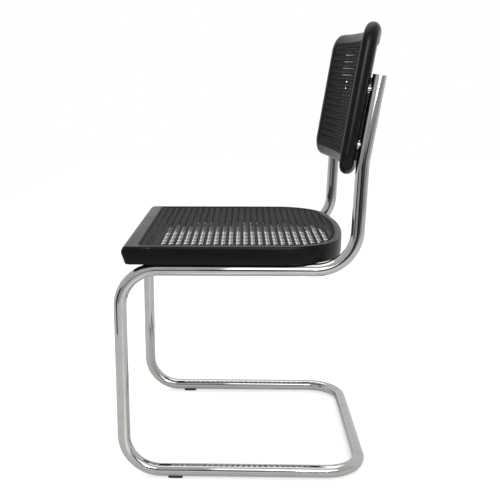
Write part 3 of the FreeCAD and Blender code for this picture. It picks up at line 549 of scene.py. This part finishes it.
def make_rim():
    bm = bmesh.new()
    bottom, ledge, floor = SEAT_TOP - SEAT_THICKNESS, SEAT_TOP - LEDGE_DEPTH, SEAT_TOP - GROOVE_DEPTH
    groove_out, groove_in = SEAT_HALF - RIM_BORDER, SEAT_HALF - RIM_BORDER - GROOVE
    inner = SEAT_HALF - RIM_WIDTH
    profile = [(SEAT_HALF, bottom), (SEAT_HALF, SEAT_TOP), (groove_out, SEAT_TOP), (groove_out, floor),
               (groove_in, floor), (groove_in, ledge), (inner, ledge), (inner, bottom)]
    rounds = [(1, RIM_ROUND, 6), (0, OUTER_FOOT_ROUND, 3), (2, GROOVE_ROUND, 2), (7, INNER_FOOT_ROUND, 3)]
    start_y = SEAT_FRONT_Y + RAIL_DEPTH + SEAT_JOINT_GAP
    end = section(bm, [(x, start_y, z) for x, z in profile], rounds)
    end = straight(bm, end, (0, corner_y - start_y, 0))
    end = bend(bm, end, (corner_x, corner_y, 0), (0, 0, 1), corner_turn, CORNER_STEPS)
    bend(bm, end, (0, arc_y, 0), (0, 0, 1), 90 - corner_turn, ARC_STEPS)
    mirror_half(bm)
    finish_piece(bm, "seat_rim_wood", lacquer_along, ["seat_bent_rim"])


make_rim()

# %% [markdown]
# ## The seat's front rail
# The rail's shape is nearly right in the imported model: a round nose, a raked underside and the
# groove. So a copy of that mesh is refined. Its loose triangles are merged, its faces are shaded
# smooth, and a small bevel breaks the sharp edges as sanding does. The round along each end is wider
# than the rim's, so it is narrowed behind the nose until the two meet.

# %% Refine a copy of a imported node
FLAT_ANGLE, SHARP_ANGLE = 1, 40


def refine(node, name, material, soften, reshape=None):
    """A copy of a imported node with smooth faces, whose edges are softened by a small width."""
    bm = bmesh.new()
    bm.from_mesh(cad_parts[node].data)
    if reshape:
        reshape(bm)
    bmesh.ops.remove_doubles(bm, verts=bm.verts, dist=HAIR / 2)
    bmesh.ops.dissolve_limit(bm, angle_limit=math.radians(FLAT_ANGLE), verts=bm.verts, edges=bm.edges)
    limit = math.radians(SHARP_ANGLE)
    sharp = [edge for edge in bm.edges if edge.is_manifold and edge.calc_face_angle() > limit]
    bmesh.ops.bevel(bm, geom=sharp, offset=soften, segments=2, profile=0.5, affect="EDGES", material=-1,
                    clamp_overlap=True)
    finish_piece(bm, name, material, [node])


PACKED_ROUND, NOSE = 10 * MM, 12 * MM


def narrow_ends(bm):
    """Pull the round along each end of the rail outwards and upwards, more so behind the nose."""
    for corner in bm.verts:
        out = abs(corner.co.x) - SEAT_HALF + PACKED_ROUND
        up = corner.co.z - SEAT_TOP + PACKED_ROUND
        if min(out, up) > -HAIR:
            shift = (PACKED_ROUND - RIM_ROUND) * min(1, (corner.co.y - SEAT_FRONT_Y) / NOSE)
            corner.co.x += math.copysign(shift * (1 - out / PACKED_ROUND), corner.co.x)
            corner.co.z += shift * (1 - up / PACKED_ROUND)


refine("seat_front_rail", "seat_front_wood", lacquer_across, soften=0.6 * MM,
       reshape=narrow_ends)

# %% [markdown]
# ## The reed round the seat
# The cane is pressed into the groove and locked by a strip of reed, whose crowned top stands a
# little above the wood. It is one closed loop with tight front corners.

# %% Lay the reed
REED_OFFSET = RIM_BORDER + GROOVE / 2
REED_HALF_WIDTH, REED_HALF_HEIGHT, REED_DEPTH = 1.95 * MM, 1.5 * MM, 1.15 * MM
REED_SEGMENTS, REED_STEPS = 14, 12
reed_corner = GROOVE_CORNER - GROOVE / 2
seat_low = SEAT_FRONT_Y + RAIL_BORDER + GROOVE / 2


def reed_section(bm, stand, place):
    """The reed's oval end, which faces along X. The turn called stand sets it up for the back."""
    bmesh.ops.create_circle(bm, cap_ends=True, segments=REED_SEGMENTS, radius=1)
    bmesh.ops.scale(bm, verts=bm.verts, vec=(REED_HALF_WIDTH, REED_HALF_HEIGHT, 1))
    for angle, axis in ((90, "X"), (90, "Z"), (stand, "X")):
        turn_all(bm, angle, axis)
    move_all(bm, place)
    return whole(bm.faces[:])


def make_seat_reed():
    bm = bmesh.new()
    side = SEAT_HALF - REED_OFFSET
    end = reed_section(bm, 0, (0, seat_low, SEAT_TOP - REED_DEPTH))
    end = straight(bm, end, (side - reed_corner, 0, 0))
    end = bend(bm, end, (side - reed_corner, seat_low + reed_corner, 0), (0, 0, 1), 90, REED_STEPS)
    end = straight(bm, end, (0, corner_y - seat_low - reed_corner, 0))
    end = bend(bm, end, (corner_x, corner_y, 0), (0, 0, 1), corner_turn, CORNER_STEPS)
    bend(bm, end, (0, arc_y, 0), (0, 0, 1), 90 - corner_turn, ARC_STEPS)
    mirror_half(bm)
    finish_piece(bm, "seat_reed", reed, ["seat_spline"])


make_seat_reed()

# %% [markdown]
# ## Woven cane
# Cane webbing has pairs of strands both ways and single strands on both slants, which cut the corners
# off the square holes and make them eight-sided. Each strand of a pair passes under one strand of
# every pair that it crosses and over the other, and its partner does the opposite. One slant runs
# over the pairs along the sheet and under those across it, and the other slant does the opposite.
# One strand is made per kind and copied along the sheet, then cut where it passes under the reed.
# The strands of the back are thicker than real ones. Seen nearly edge on they close the holes, as
# they do in the photo.

# %% The strands of a woven sheet
PITCH = 13.6 * MM
PAIR_OFFSET = 1.42 * MM
STRAND_WIDTH, SLANT_WIDTH = 2.8 * MM, 2.5 * MM
SEAT_STRAND, BACK_STRAND = 0.78 * MM, 1.65 * MM
PAIR_RISE, SLANT_RISE = 0.45, 0.8
SLANT_STEPS = 8


def strand_mesh(stations, width, thickness):
    """A flat strand along X whose crowned section follows the stations (distance, height)."""
    bm = bmesh.new()
    bmesh.ops.create_circle(bm, cap_ends=True, segments=4, radius=0.5)
    turn_all(bm, 90, "Y")
    bmesh.ops.scale(bm, verts=bm.verts, vec=(1, width, thickness))
    move_all(bm, (stations[0][0], 0, stations[0][1]))
    end = whole(bm.faces[:])
    for before, after in zip(stations, stations[1:]):
        end = straight(bm, end, (after[0] - before[0], 0, after[1] - before[1]))
    bmesh.ops.recalc_face_normals(bm, faces=bm.faces)
    mesh = bpy.data.meshes.new("strand")
    bm.to_mesh(mesh)
    bm.free()
    return mesh


def pair_stations(reach, rise):
    """Heights of one strand of a pair: under one strand of each crossing pair and over the other."""
    stations = []
    count = math.ceil(reach / PITCH)
    for number in range(-count, count + 1):
        middle = number * PITCH
        stations += [(middle - 2 * PAIR_OFFSET, 0), (middle - PAIR_OFFSET, -rise),
                     (middle + PAIR_OFFSET, rise), (middle + 2 * PAIR_OFFSET, 0)]
    return stations


def slant_stations(reach, rise):
    """Heights of a slant: one wave from a pair across the sheet to the next, one along it halfway."""
    period = PITCH * math.sqrt(2)
    count = math.ceil(reach / period) * SLANT_STEPS
    return [(step * period / SLANT_STEPS, -rise * math.cos(2 * math.pi * step / SLANT_STEPS))
            for step in range(-count, count + 1)]


# %% Cut each strand to the opening
TEST_STEP, SHORTEST = 0.5 * MM, 2 * MM


def cut_strand(sheet, strand, origin, angle, inside, reach):
    """Add a copy of the strand through the origin, kept where it lies inside the opening."""
    direction = Vector((math.cos(angle), math.sin(angle), 0))
    count = int(reach / TEST_STEP)
    held = [number * TEST_STEP for number in range(-count, count + 1)
            if inside(*(origin + direction * number * TEST_STEP).xy)]
    if not held or held[-1] - held[0] < SHORTEST:
        return
    bm = bmesh.new()
    bm.from_mesh(strand)
    for limit, way in ((held[0], -1), (held[-1], 1)):
        cut = bmesh.ops.bisect_plane(bm, geom=whole(bm.faces[:]), plane_co=(limit, 0, 0),
                                     plane_no=(way, 0, 0), clear_outer=True)["geom_cut"]
        bmesh.ops.edgeloop_fill(bm, edges=only(bmesh.types.BMEdge, cut))
    bmesh.ops.rotate(bm, verts=bm.verts, matrix=Matrix.Rotation(angle, 3, "Z"))
    move_all(bm, origin)
    piece = bpy.data.meshes.new("cut")
    bm.to_mesh(piece)
    bm.free()
    sheet.from_mesh(piece)
    bpy.data.meshes.remove(piece)


# %% Weave the four layers
def weave(inside, half_width, low, high, thickness):
    """The four layers of a sheet of cane round X = 0, as one bmesh each."""
    centre = (low + high) / 2
    reach = half_width + (high - low)
    columns = math.ceil(half_width / PITCH)
    rows = math.ceil((high - low) / 2 / PITCH)
    layers = {}
    for key, way, angle, count in (("across", 1, 0, rows), ("along", -1, math.pi / 2, columns)):
        layers[key] = bmesh.new()
        for side in (1, -1):
            stations = pair_stations(reach, way * side * PAIR_RISE * thickness)
            strand = strand_mesh(stations, STRAND_WIDTH, thickness)
            for number in range(-count, count + 1):
                place = number * PITCH + side * PAIR_OFFSET
                origin = (0, centre + place, 0) if key == "across" else (place, centre, 0)
                cut_strand(layers[key], strand, Vector(origin), angle, inside, reach)
    for key, side in (("slant_a", 1), ("slant_b", -1)):
        layers[key] = bmesh.new()
        stations = slant_stations(reach, side * SLANT_RISE * thickness)
        strand = strand_mesh(stations, SLANT_WIDTH, thickness)
        count = columns + rows + 1
        for number in range(-count, count + 1):
            origin = Vector(((number + 0.5) * PITCH, centre, 0))
            cut_strand(layers[key], strand, origin, -side * math.pi / 4, inside, reach)
    return layers


# %% [markdown]
# ## The cane of the seat
# The sheet ends under the reed, so the test for each strand follows the reed's own line: straight at
# the front and sides, round at the corners, and on the shallow arc at the rear.

# %% Weave the seat
SEAT_CANE_DEPTH = 1.2 * MM
CANE_SHARP = 75


def inside_seat(x, y):
    """Whether a point of the sheet lies inside the line of the reed."""
    x = abs(x)
    if x > SEAT_HALF - REED_OFFSET or y < seat_low:
        return False
    front_x, front_y = SEAT_HALF - REED_OFFSET - reed_corner, seat_low + reed_corner
    if x > front_x and y < front_y and math.hypot(x - front_x, y - front_y) > reed_corner:
        return False
    if y <= corner_y:
        return True
    turned = math.degrees(math.atan2(y - corner_y, x - corner_x))
    if turned < corner_turn:
        return math.hypot(x - corner_x, y - corner_y) < CORNER - REED_OFFSET
    return math.hypot(x, y - arc_y) < REAR_ARC - REED_OFFSET


seat_layers = weave(inside_seat, SEAT_HALF - REED_OFFSET, seat_low, SEAT_REAR_Y - REED_OFFSET,
                    SEAT_STRAND)
for key, sheet in seat_layers.items():
    move_all(sheet, (0, 0, SEAT_TOP - SEAT_CANE_DEPTH))
    finish_piece(sheet, f"seat_cane_{key}", seat_cane[key], ["seat_cane"], CANE_SHARP)

# %% [markdown]
# ## The curve of the back
# The back is built flat, with X across, Y through its thickness and Z up. Then every corner is moved
# onto the cylinder that the wood was bent round, and the whole is leaned back and put in its place.

# %% Curve and lean a flat piece
def lean_back(depth, rise):
    """The Y and Z of a point behind the back's middle, at a rise up along its lean."""
    return (back_y + depth * lean_cosine + rise * lean_sine,
            BACK_Z + rise * lean_cosine - depth * lean_sine)


def settle_back(bm):
    for corner in bm.verts:
        x, depth, rise = corner.co
        curved = back_sag - BACK_RADIUS + math.sqrt((BACK_RADIUS + depth) ** 2 - x * x)
        corner.co = (x, *lean_back(curved, rise))


# %% [markdown]
# ## The frame of the back
# Top and bottom rails carry the rounded corners, and two stiles stand between them. All four share
# one section: fully rounded outside, flat in front and behind, with a groove and a ledge for the cane
# on the side that faces the sitter. The joints are left a tenth of a millimetre open, because they
# show as fine lines in real frames.

# %% Shape the rails and stiles
BACK_JOINT_GAP = 0.12 * MM
FULL_ROUND, INNER_ROUND, LEDGE_ROUND = BACK_THICKNESS / 2 - 0.05 * MM, 4 * MM, 0.5 * MM
LENGTH_STEPS, BACK_CORNER_STEPS, STILE_STEPS = 20, 18, 4


def back_section(bm, rise):
    front, rear = -BACK_THICKNESS / 2, BACK_THICKNESS / 2
    ledge, floor = front + LEDGE_DEPTH, front + GROOVE_DEPTH
    inner, groove_out = BACK_HALF - BACK_MEMBER, BACK_HALF - BACK_BORDER
    groove_in = groove_out - GROOVE
    profile = [(BACK_HALF, front), (BACK_HALF, rear), (inner, rear), (inner, ledge),
               (groove_in, ledge), (groove_in, floor), (groove_out, floor), (groove_out, front)]
    rounds = [(0, FULL_ROUND, 10), (1, FULL_ROUND, 10), (2, INNER_ROUND, 5), (7, GROOVE_ROUND, 2),
              (3, LEDGE_ROUND, 2)]
    return section(bm, [(x, depth, rise) for x, depth in profile], rounds)


def make_back_rail(name, way):
    """The top rail (way 1) or the bottom rail (way -1), with its two corners."""
    bm = bmesh.new()
    joint = way * (BACK_RISE - BACK_CORNER)
    end = back_section(bm, joint)
    corner = (BACK_HALF - BACK_CORNER, 0, joint)
    end = bend(bm, end, corner, (0, 1, 0), -90 * way, BACK_CORNER_STEPS)
    straight(bm, end, (BACK_CORNER - BACK_HALF, 0, 0), LENGTH_STEPS)
    mirror_half(bm)
    settle_back(bm)
    finish_piece(bm, f"back_{name}_wood", lacquer_across, [f"back_{name}_rail"])


def make_back_stile(name, way):
    """The left stile (way 1) or the right stile (way -1)."""
    bm = bmesh.new()
    joint = BACK_RISE - BACK_CORNER - BACK_JOINT_GAP
    straight(bm, back_section(bm, -joint), (0, 0, 2 * joint), STILE_STEPS)
    bmesh.ops.scale(bm, verts=bm.verts, vec=(way, 1, 1))
    settle_back(bm)
    finish_piece(bm, f"back_{name}_wood", lacquer_upright, [f"back_{name}_stile"])


make_back_rail("top", 1)
make_back_rail("bottom", -1)
make_back_stile("left", 1)
make_back_stile("right", -1)

# %% [markdown]
# ## The reed and the cane of the back
# They are made as the seat's are, in the flat, with the sheet just behind the frame's front face.

# %% Lay the reed of the back
BACK_INSET = BACK_BORDER + GROOVE / 2


def make_back_reed():
    bm = bmesh.new()
    radius = BACK_CORNER - BACK_INSET
    side, rise = BACK_HALF - BACK_INSET - radius, BACK_RISE - BACK_INSET
    end = reed_section(bm, 90, (0, REED_DEPTH - BACK_THICKNESS / 2, rise))
    end = straight(bm, end, (side, 0, 0), LENGTH_STEPS)
    end = bend(bm, end, (side, 0, rise - radius), (0, 1, 0), 90, REED_STEPS)
    end = straight(bm, end, (0, 0, 2 * (radius - rise)), STILE_STEPS)
    end = bend(bm, end, (side, 0, radius - rise), (0, 1, 0), 90, REED_STEPS)
    straight(bm, end, (-side, 0, 0), LENGTH_STEPS)
    mirror_half(bm)
    settle_back(bm)
    finish_piece(bm, "back_reed", reed, ["back_spline"])


make_back_reed()

# %% Weave the back
BACK_CANE_DEPTH = 1.9 * MM


def inside_back(x, rise):
    x, rise = abs(x), abs(rise)
    if x > BACK_HALF - BACK_INSET or rise > BACK_RISE - BACK_INSET:
        return False
    out, up = x - (BACK_HALF - BACK_CORNER), rise - (BACK_RISE - BACK_CORNER)
    return out < 0 or up < 0 or math.hypot(out, up) < BACK_CORNER - BACK_INSET


back_limit = BACK_RISE - BACK_INSET
back_layers = weave(inside_back, BACK_HALF - BACK_INSET, -back_limit, back_limit, BACK_STRAND)
for key, sheet in back_layers.items():
    turn_all(sheet, 90, "X")
    move_all(sheet, (0, BACK_CANE_DEPTH - BACK_THICKNESS / 2, 0))
    settle_back(sheet)
    finish_piece(sheet, f"back_cane_{key}", back_cane[key], ["back_cane"], CANE_SHARP)

# %% [markdown]
# ## The dark strips behind the back, which are painted shade
# The gap between wood and upright is dark but for a glint at each spacer. A thin black strip on the wood,
# cut round the spacers, is painted shade: it darkens that gap where shade falls, and it is no real part
# of the chair.

# %% Lay the shade strips
SHADE_STRIP_WIDTH, SHADE_STRIP_DEPTH = 11 * MM, 2.1 * MM
SHADE_STRIP_SPANS = ((-104 * MM, -83 * MM), (-69 * MM, 13 * MM), (27 * MM, 39 * MM))


# The strips are painted shade: dark sheets that darken the gap between wood and upright.
def make_shade_strips():
    bm = bmesh.new()
    near, far = TUBE_X - SHADE_STRIP_WIDTH / 2, TUBE_X + SHADE_STRIP_WIDTH / 2
    wood = BACK_THICKNESS / 2
    corners = [(near, wood), (far, wood), (far, wood + SHADE_STRIP_DEPTH), (near, wood + SHADE_STRIP_DEPTH)]
    for low, high in SHADE_STRIP_SPANS:
        face = bm.faces.new([bm.verts.new((x, depth, low)) for x, depth in corners])
        straight(bm, whole([face]), (0, 0, high - low), STILE_STEPS)
    mirror_half(bm, joined=False)
    settle_back(bm)
    finish_piece(bm, "back_shade_strips", reed)


make_shade_strips()

# %% [markdown]
# ## The screws
# Short round spacers hold the back off the uprights. The screws run through tube and spacer into the
# wood, and others rise from under the seat tube. Their heads are low and oval, so that they hardly
# stand off the tube. A screw is a turned part: half of its outline is spun round, a slot is sunk
# into its head, and each copy is set in its place.

# %% Turn a screw
HEAD_RADIUS, HEAD_DOME, SLOT_HALF = 4 * MM, 0.9 * MM, 0.45 * MM
OUTLINE_NEAR_HEAD = ((0.5, -0.6), (1, -0.15), (1, 0))
OUTLINE_OF_DOME = ((0.7, 0.6), (0.35, 0.93), (0, 1))
CUT_ABOVE, SLOT_ABOVE, SLOT_FLOOR = HEAD_DOME * 0.2, HEAD_DOME * 0.5, -HEAD_DOME * 0.4
SCREW_STEPS = 28


def make_screw(length):
    """A screw whose head points up along Z. The head's edge lies at Z = 0."""
    bm = bmesh.new()
    tip, shank = HEAD_RADIUS * 0.3, HEAD_RADIUS * 0.5
    outline = [(0, -length), (tip, -length), (shank, shank - length)]
    outline += [(out * HEAD_RADIUS, up * HEAD_RADIUS) for out, up in OUTLINE_NEAR_HEAD]
    outline += [(out * HEAD_RADIUS, up * HEAD_DOME) for out, up in OUTLINE_OF_DOME]
    points = [bm.verts.new((out, 0, up)) for out, up in outline]
    edges = [bm.edges.new(pair) for pair in zip(points, points[1:])]
    bmesh.ops.spin(bm, geom=points + edges, cent=(0, 0, 0), axis=(0, 0, 1), angle=math.radians(360),
                   steps=SCREW_STEPS, use_merge=True, use_duplicate=False)
    bmesh.ops.remove_doubles(bm, verts=bm.verts, dist=HAIR / 2)
    for limit in (SLOT_HALF, -SLOT_HALF):
        dome = whole([face for face in bm.faces if face.calc_center_median().z > CUT_ABOVE])
        bmesh.ops.bisect_plane(bm, geom=dome, plane_co=(0, limit, 0), plane_no=(0, 1, 0))
    slot = [face for face in bm.faces if face.calc_center_median().z > SLOT_ABOVE
            and abs(face.calc_center_median().y) < SLOT_HALF]
    sunk = bmesh.ops.extrude_face_region(bm, geom=whole(slot))["geom"]
    for corner in only(bmesh.types.BMVert, sunk):
        corner.co.z = SLOT_FLOOR
    mesh = bpy.data.meshes.new("screw")
    bm.to_mesh(mesh)
    bm.free()
    return mesh


def place_copies(name, material, mesh, places):
    """One piece that holds a copy of the mesh at each place, turned as that place says."""
    together = bmesh.new()
    for place, turn in places:
        copy = mesh.copy()
        copy.transform(Matrix.Translation(place) @ turn)
        together.from_mesh(copy)
        bpy.data.meshes.remove(copy)
    finish_piece(together, name, material)


# %% Set the screws
BACK_SCREW_LENGTH, SEAT_SCREW_LENGTH = 36 * MM, 38 * MM
SPACER_LEVELS = (20 * MM, -76 * MM)
SEAT_SCREW_YS = (-130 * MM, 60 * MM)
BACK_SLOT_TURNS, SEAT_SLOT_TURNS = ((1, 25), (-1, 70)), ((1, 15), (-1, 110))
head_sink = TUBE_RADIUS - math.sqrt(TUBE_RADIUS ** 2 - HEAD_RADIUS ** 2)
rearward = Matrix.Rotation(math.radians(-90 - LEAN), 4, "X")
downward = Matrix.Rotation(math.radians(180), 4, "X")

back_places = []
for level in SPACER_LEVELS:
    y, z = lean_back(tube_depth + TUBE_RADIUS - head_sink, level)
    for side, slot_turn in BACK_SLOT_TURNS:
        turn = rearward @ Matrix.Rotation(math.radians(slot_turn + level / MM), 4, "Z")
        back_places.append(((side * TUBE_X, y, z), turn))
seat_places = []
for y in SEAT_SCREW_YS:
    for side, slot_turn in SEAT_SLOT_TURNS:
        turn = downward @ Matrix.Rotation(math.radians(slot_turn), 4, "Z")
        seat_places.append(((side * TUBE_X, y, SEAT_TUBE_Z - TUBE_RADIUS + head_sink), turn))
place_copies("back_screw_heads", chrome, make_screw(BACK_SCREW_LENGTH), back_places)
place_copies("seat_screw_heads", steel, make_screw(SEAT_SCREW_LENGTH), seat_places)

# %% [markdown]
# ## The spacers, the glides and the hidden tongues
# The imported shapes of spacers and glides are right, so copies of them only get broken edges. The
# tongues stay as they are and get their beech.

# %% Finish the small parts
refine("back_spacers", "back_sleeves", chrome, soften=0.15 * MM)
refine("glides_front", "front_glides", plastic, soften=0.4 * MM)
refine("glides_rear", "rear_glides", plastic, soften=0.4 * MM)
for node in ("seat_tenons", "back_tenons"):
    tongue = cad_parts[node]
    tongue.data.materials.clear()
    tongue.data.materials.append(beech)
    print(node, "gets", beech.name)

# %% [markdown]
# ## The floor
# The floor is a white sheet that ends a good metre from the chair on the camera's side. The camera
# sees plain white past it, which no light has a part in, and the floor keeps the chair's shadow. A
# glow that only the camera and mirrors see lifts the floor to that white.

# %% Lay the floor
def flat_board(name, middle, size, turns, finish):
    """A flat board of the studio, which isn't part of the chair."""
    bm = bmesh.new()
    bmesh.ops.create_grid(bm, x_segments=1, y_segments=1, size=0.5)
    bmesh.ops.scale(bm, verts=bm.verts, vec=(*size, 1))
    for angle, axis in turns:
        turn_all(bm, angle, axis)
    move_all(bm, middle)
    mesh = bpy.data.meshes.new(name)
    bm.to_mesh(mesh)
    bm.free()
    mesh.materials.append(finish.material)
    board = bpy.data.objects.new(name, mesh)
    bpy.context.scene.collection.objects.link(board)
    return board


FLOOR_MIDDLE, FLOOR_SIZE = (-2.275, 0.5, 0), (7.45, 4.2)
CAMERA_GLOW, MIRROR_GLOW = 0.55, 0.15


def make_floor():
    finish = Finish("white_floor")
    seen = finish.node("ShaderNodeLightPath", output="Is Camera Ray")
    mirrored = finish.node("ShaderNodeLightPath", output="Is Glossy Ray")
    matt = finish.node("ShaderNodeBsdfDiffuse", {}, {"Color": (0.8, 0.8, 0.8, 1)})
    strength = seen * CAMERA_GLOW + mirrored * MIRROR_GLOW
    glow = finish.node("ShaderNodeEmission", {}, {"Color": (1, 1, 1, 1), "Strength": strength})
    surface = finish.node("ShaderNodeAddShader", {}, {0: matt, 1: glow})
    finish.node("ShaderNodeOutputMaterial", {}, {"Surface": surface})
    floor = flat_board("studio_floor", FLOOR_MIDDLE, FLOOR_SIZE, (), finish)


make_floor()

# %% [markdown]
# ## What the chrome reflects
# Chrome shows its surroundings more than itself. The studio is brightest behind the chair and a
# duller grey on the camera's side, most of all near the ground. The camera sees it as plain white,
# and matt surfaces are lit by one even level.

# %% The studio round the chair
REAR_LEVEL, CAMERA_SIDE_LEVEL, LOW_LEVEL, EVEN_LEVEL = 0.85, 0.7, 0.45, 0.62
SIDE_CHANGE, GROUND_CHANGE = (-0.1, 0.3), (0.02, 0.12)


class Surroundings(Finish):
    """The same node maker, working on the world."""

    def __init__(self, world):
        self.tree = world.node_tree
        self.tree.nodes.clear()


def make_studio():
    world = bpy.data.worlds.new("studio")
    bpy.context.scene.world = world
    world.use_nodes = True
    studio = Surroundings(world)
    point = studio.node("ShaderNodeTexCoord", output="Generated")
    toward, up = (studio.node("ShaderNodeSeparateXYZ", {}, {0: point}, axis) for axis in ("X", "Z"))
    facing = studio.band(toward, *SIDE_CHANGE)
    low = 1.0 - studio.band(up, *GROUND_CHANGE)
    camera_side = CAMERA_SIDE_LEVEL - low * (CAMERA_SIDE_LEVEL - LOW_LEVEL)
    level = REAR_LEVEL + facing * (camera_side - REAR_LEVEL)
    mirrored = studio.node("ShaderNodeLightPath", output="Is Glossy Ray")
    seen = studio.node("ShaderNodeLightPath", output="Is Camera Ray")
    shown = EVEN_LEVEL + mirrored * (level - EVEN_LEVEL)
    shown = shown + seen * (1.0 - shown)
    background = studio.node("ShaderNodeBackground", {}, {"Color": (1, 1, 1, 1), "Strength": shown})
    studio.node("ShaderNodeOutputWorld", {}, {"Surface": background})


make_studio()

# %% [markdown]
# ## The boards that only mirrors see
# Three black flags stand on the camera's side: a long one, the camera's own, and one off to the
# front. They draw the dark lines in the tube. Two bright strips draw the light ones. One lies on the
# floor and shows in the near leg, and one stands behind the camera and shows in the near stile.

# %% Flags and strips
def make_board(name, middle, size, turn, glow, upright=True):
    finish = Finish(name)
    light = finish.node("ShaderNodeEmission", {}, {"Color": (1, 1, 1, 1), "Strength": glow})
    finish.node("ShaderNodeOutputMaterial", {}, {"Surface": light})
    flag = flat_board(name, middle, size, ((90 if upright else 0, "X"), (turn, "Z")), finish)
    for way in ("camera", "diffuse", "shadow", "transmission"):
        setattr(flag, f"visible_{way}", False)


make_board("long_flag", (1.42, 0.40, 0.36), (1.5, 0.31), turn=90, glow=0.08)
make_board("camera_flag", (1.40, -0.03, 0.40), (0.26, 0.40), turn=90, glow=0.0)
make_board("front_flag", (0.70, -0.99, 0.25), (0.36, 0.50), turn=33, glow=0.02)
make_board("floor_strip", (0.71, 0.149, 0.002), (0.95, 0.16), turn=38, glow=1.3, upright=False)
make_board("bright_strip", (1.95, 0.42, 0.92), (0.26, 0.42), turn=96, glow=36)

# %% [markdown]
# ## The lamps
# Two wide, soft lamps light the chair itself. One hangs overhead, so the chair's shadow falls right
# under it. The other stands on the camera's side and gives the rounded wood its sheen.

# %% The soft lamps
def soft_lamp(name, place, target, size, power):
    lamp = bpy.data.lights.new(name, "AREA")
    lamp.shape = "RECTANGLE"
    lamp.size, lamp.size_y = size
    lamp.energy = power
    holder = bpy.data.objects.new(name, lamp)
    holder.location = place
    holder.rotation_euler = (Vector(target) - Vector(place)).to_track_quat("-Z", "Y").to_euler()
    bpy.context.scene.collection.objects.link(holder)


soft_lamp("overhead", (-0.3, 0.1, 2.6), (-0.3, 0.1, 0), size=(2.4, 2.4), power=24)
soft_lamp("camera_side", (1.80, 0.70, 1.30), (0.2, 0.70, 1.30), size=(1.6, 1.25), power=12)
print("lamps:", len(bpy.data.lights))

# %% [markdown]
# ## The camera
# It stands at the sitter's left, level with the middle of the back, and looks down at the chair by
# some twelve degrees. The lens is moderately long, so the far leg looks only slightly smaller than
# the near one.

# %% Place the camera
camera_data = bpy.data.cameras.new("camera")
camera_data.sensor_width = 36
camera_data.lens = 55.88
camera_data.shift_x = 0.06
camera = bpy.data.objects.new("camera", camera_data)
camera.location = (1.578957, -0.011574, 0.741617)
yaw, pitch, roll = (math.radians(angle) for angle in (-1.7176786, -12.2320823, -0.1492273))
look = Vector((-math.cos(yaw) * math.cos(pitch), math.sin(yaw) * math.cos(pitch), math.sin(pitch)))
aim = look.to_track_quat("-Z", "Y").to_matrix() @ Matrix.Rotation(roll, 3, "Z")
camera.rotation_euler = aim.to_euler()
bpy.context.scene.collection.objects.link(camera)
bpy.context.scene.camera = camera
bpy.context.scene.view_settings.view_transform = "Standard"
print("camera at", tuple(round(part, 3) for part in camera.location))
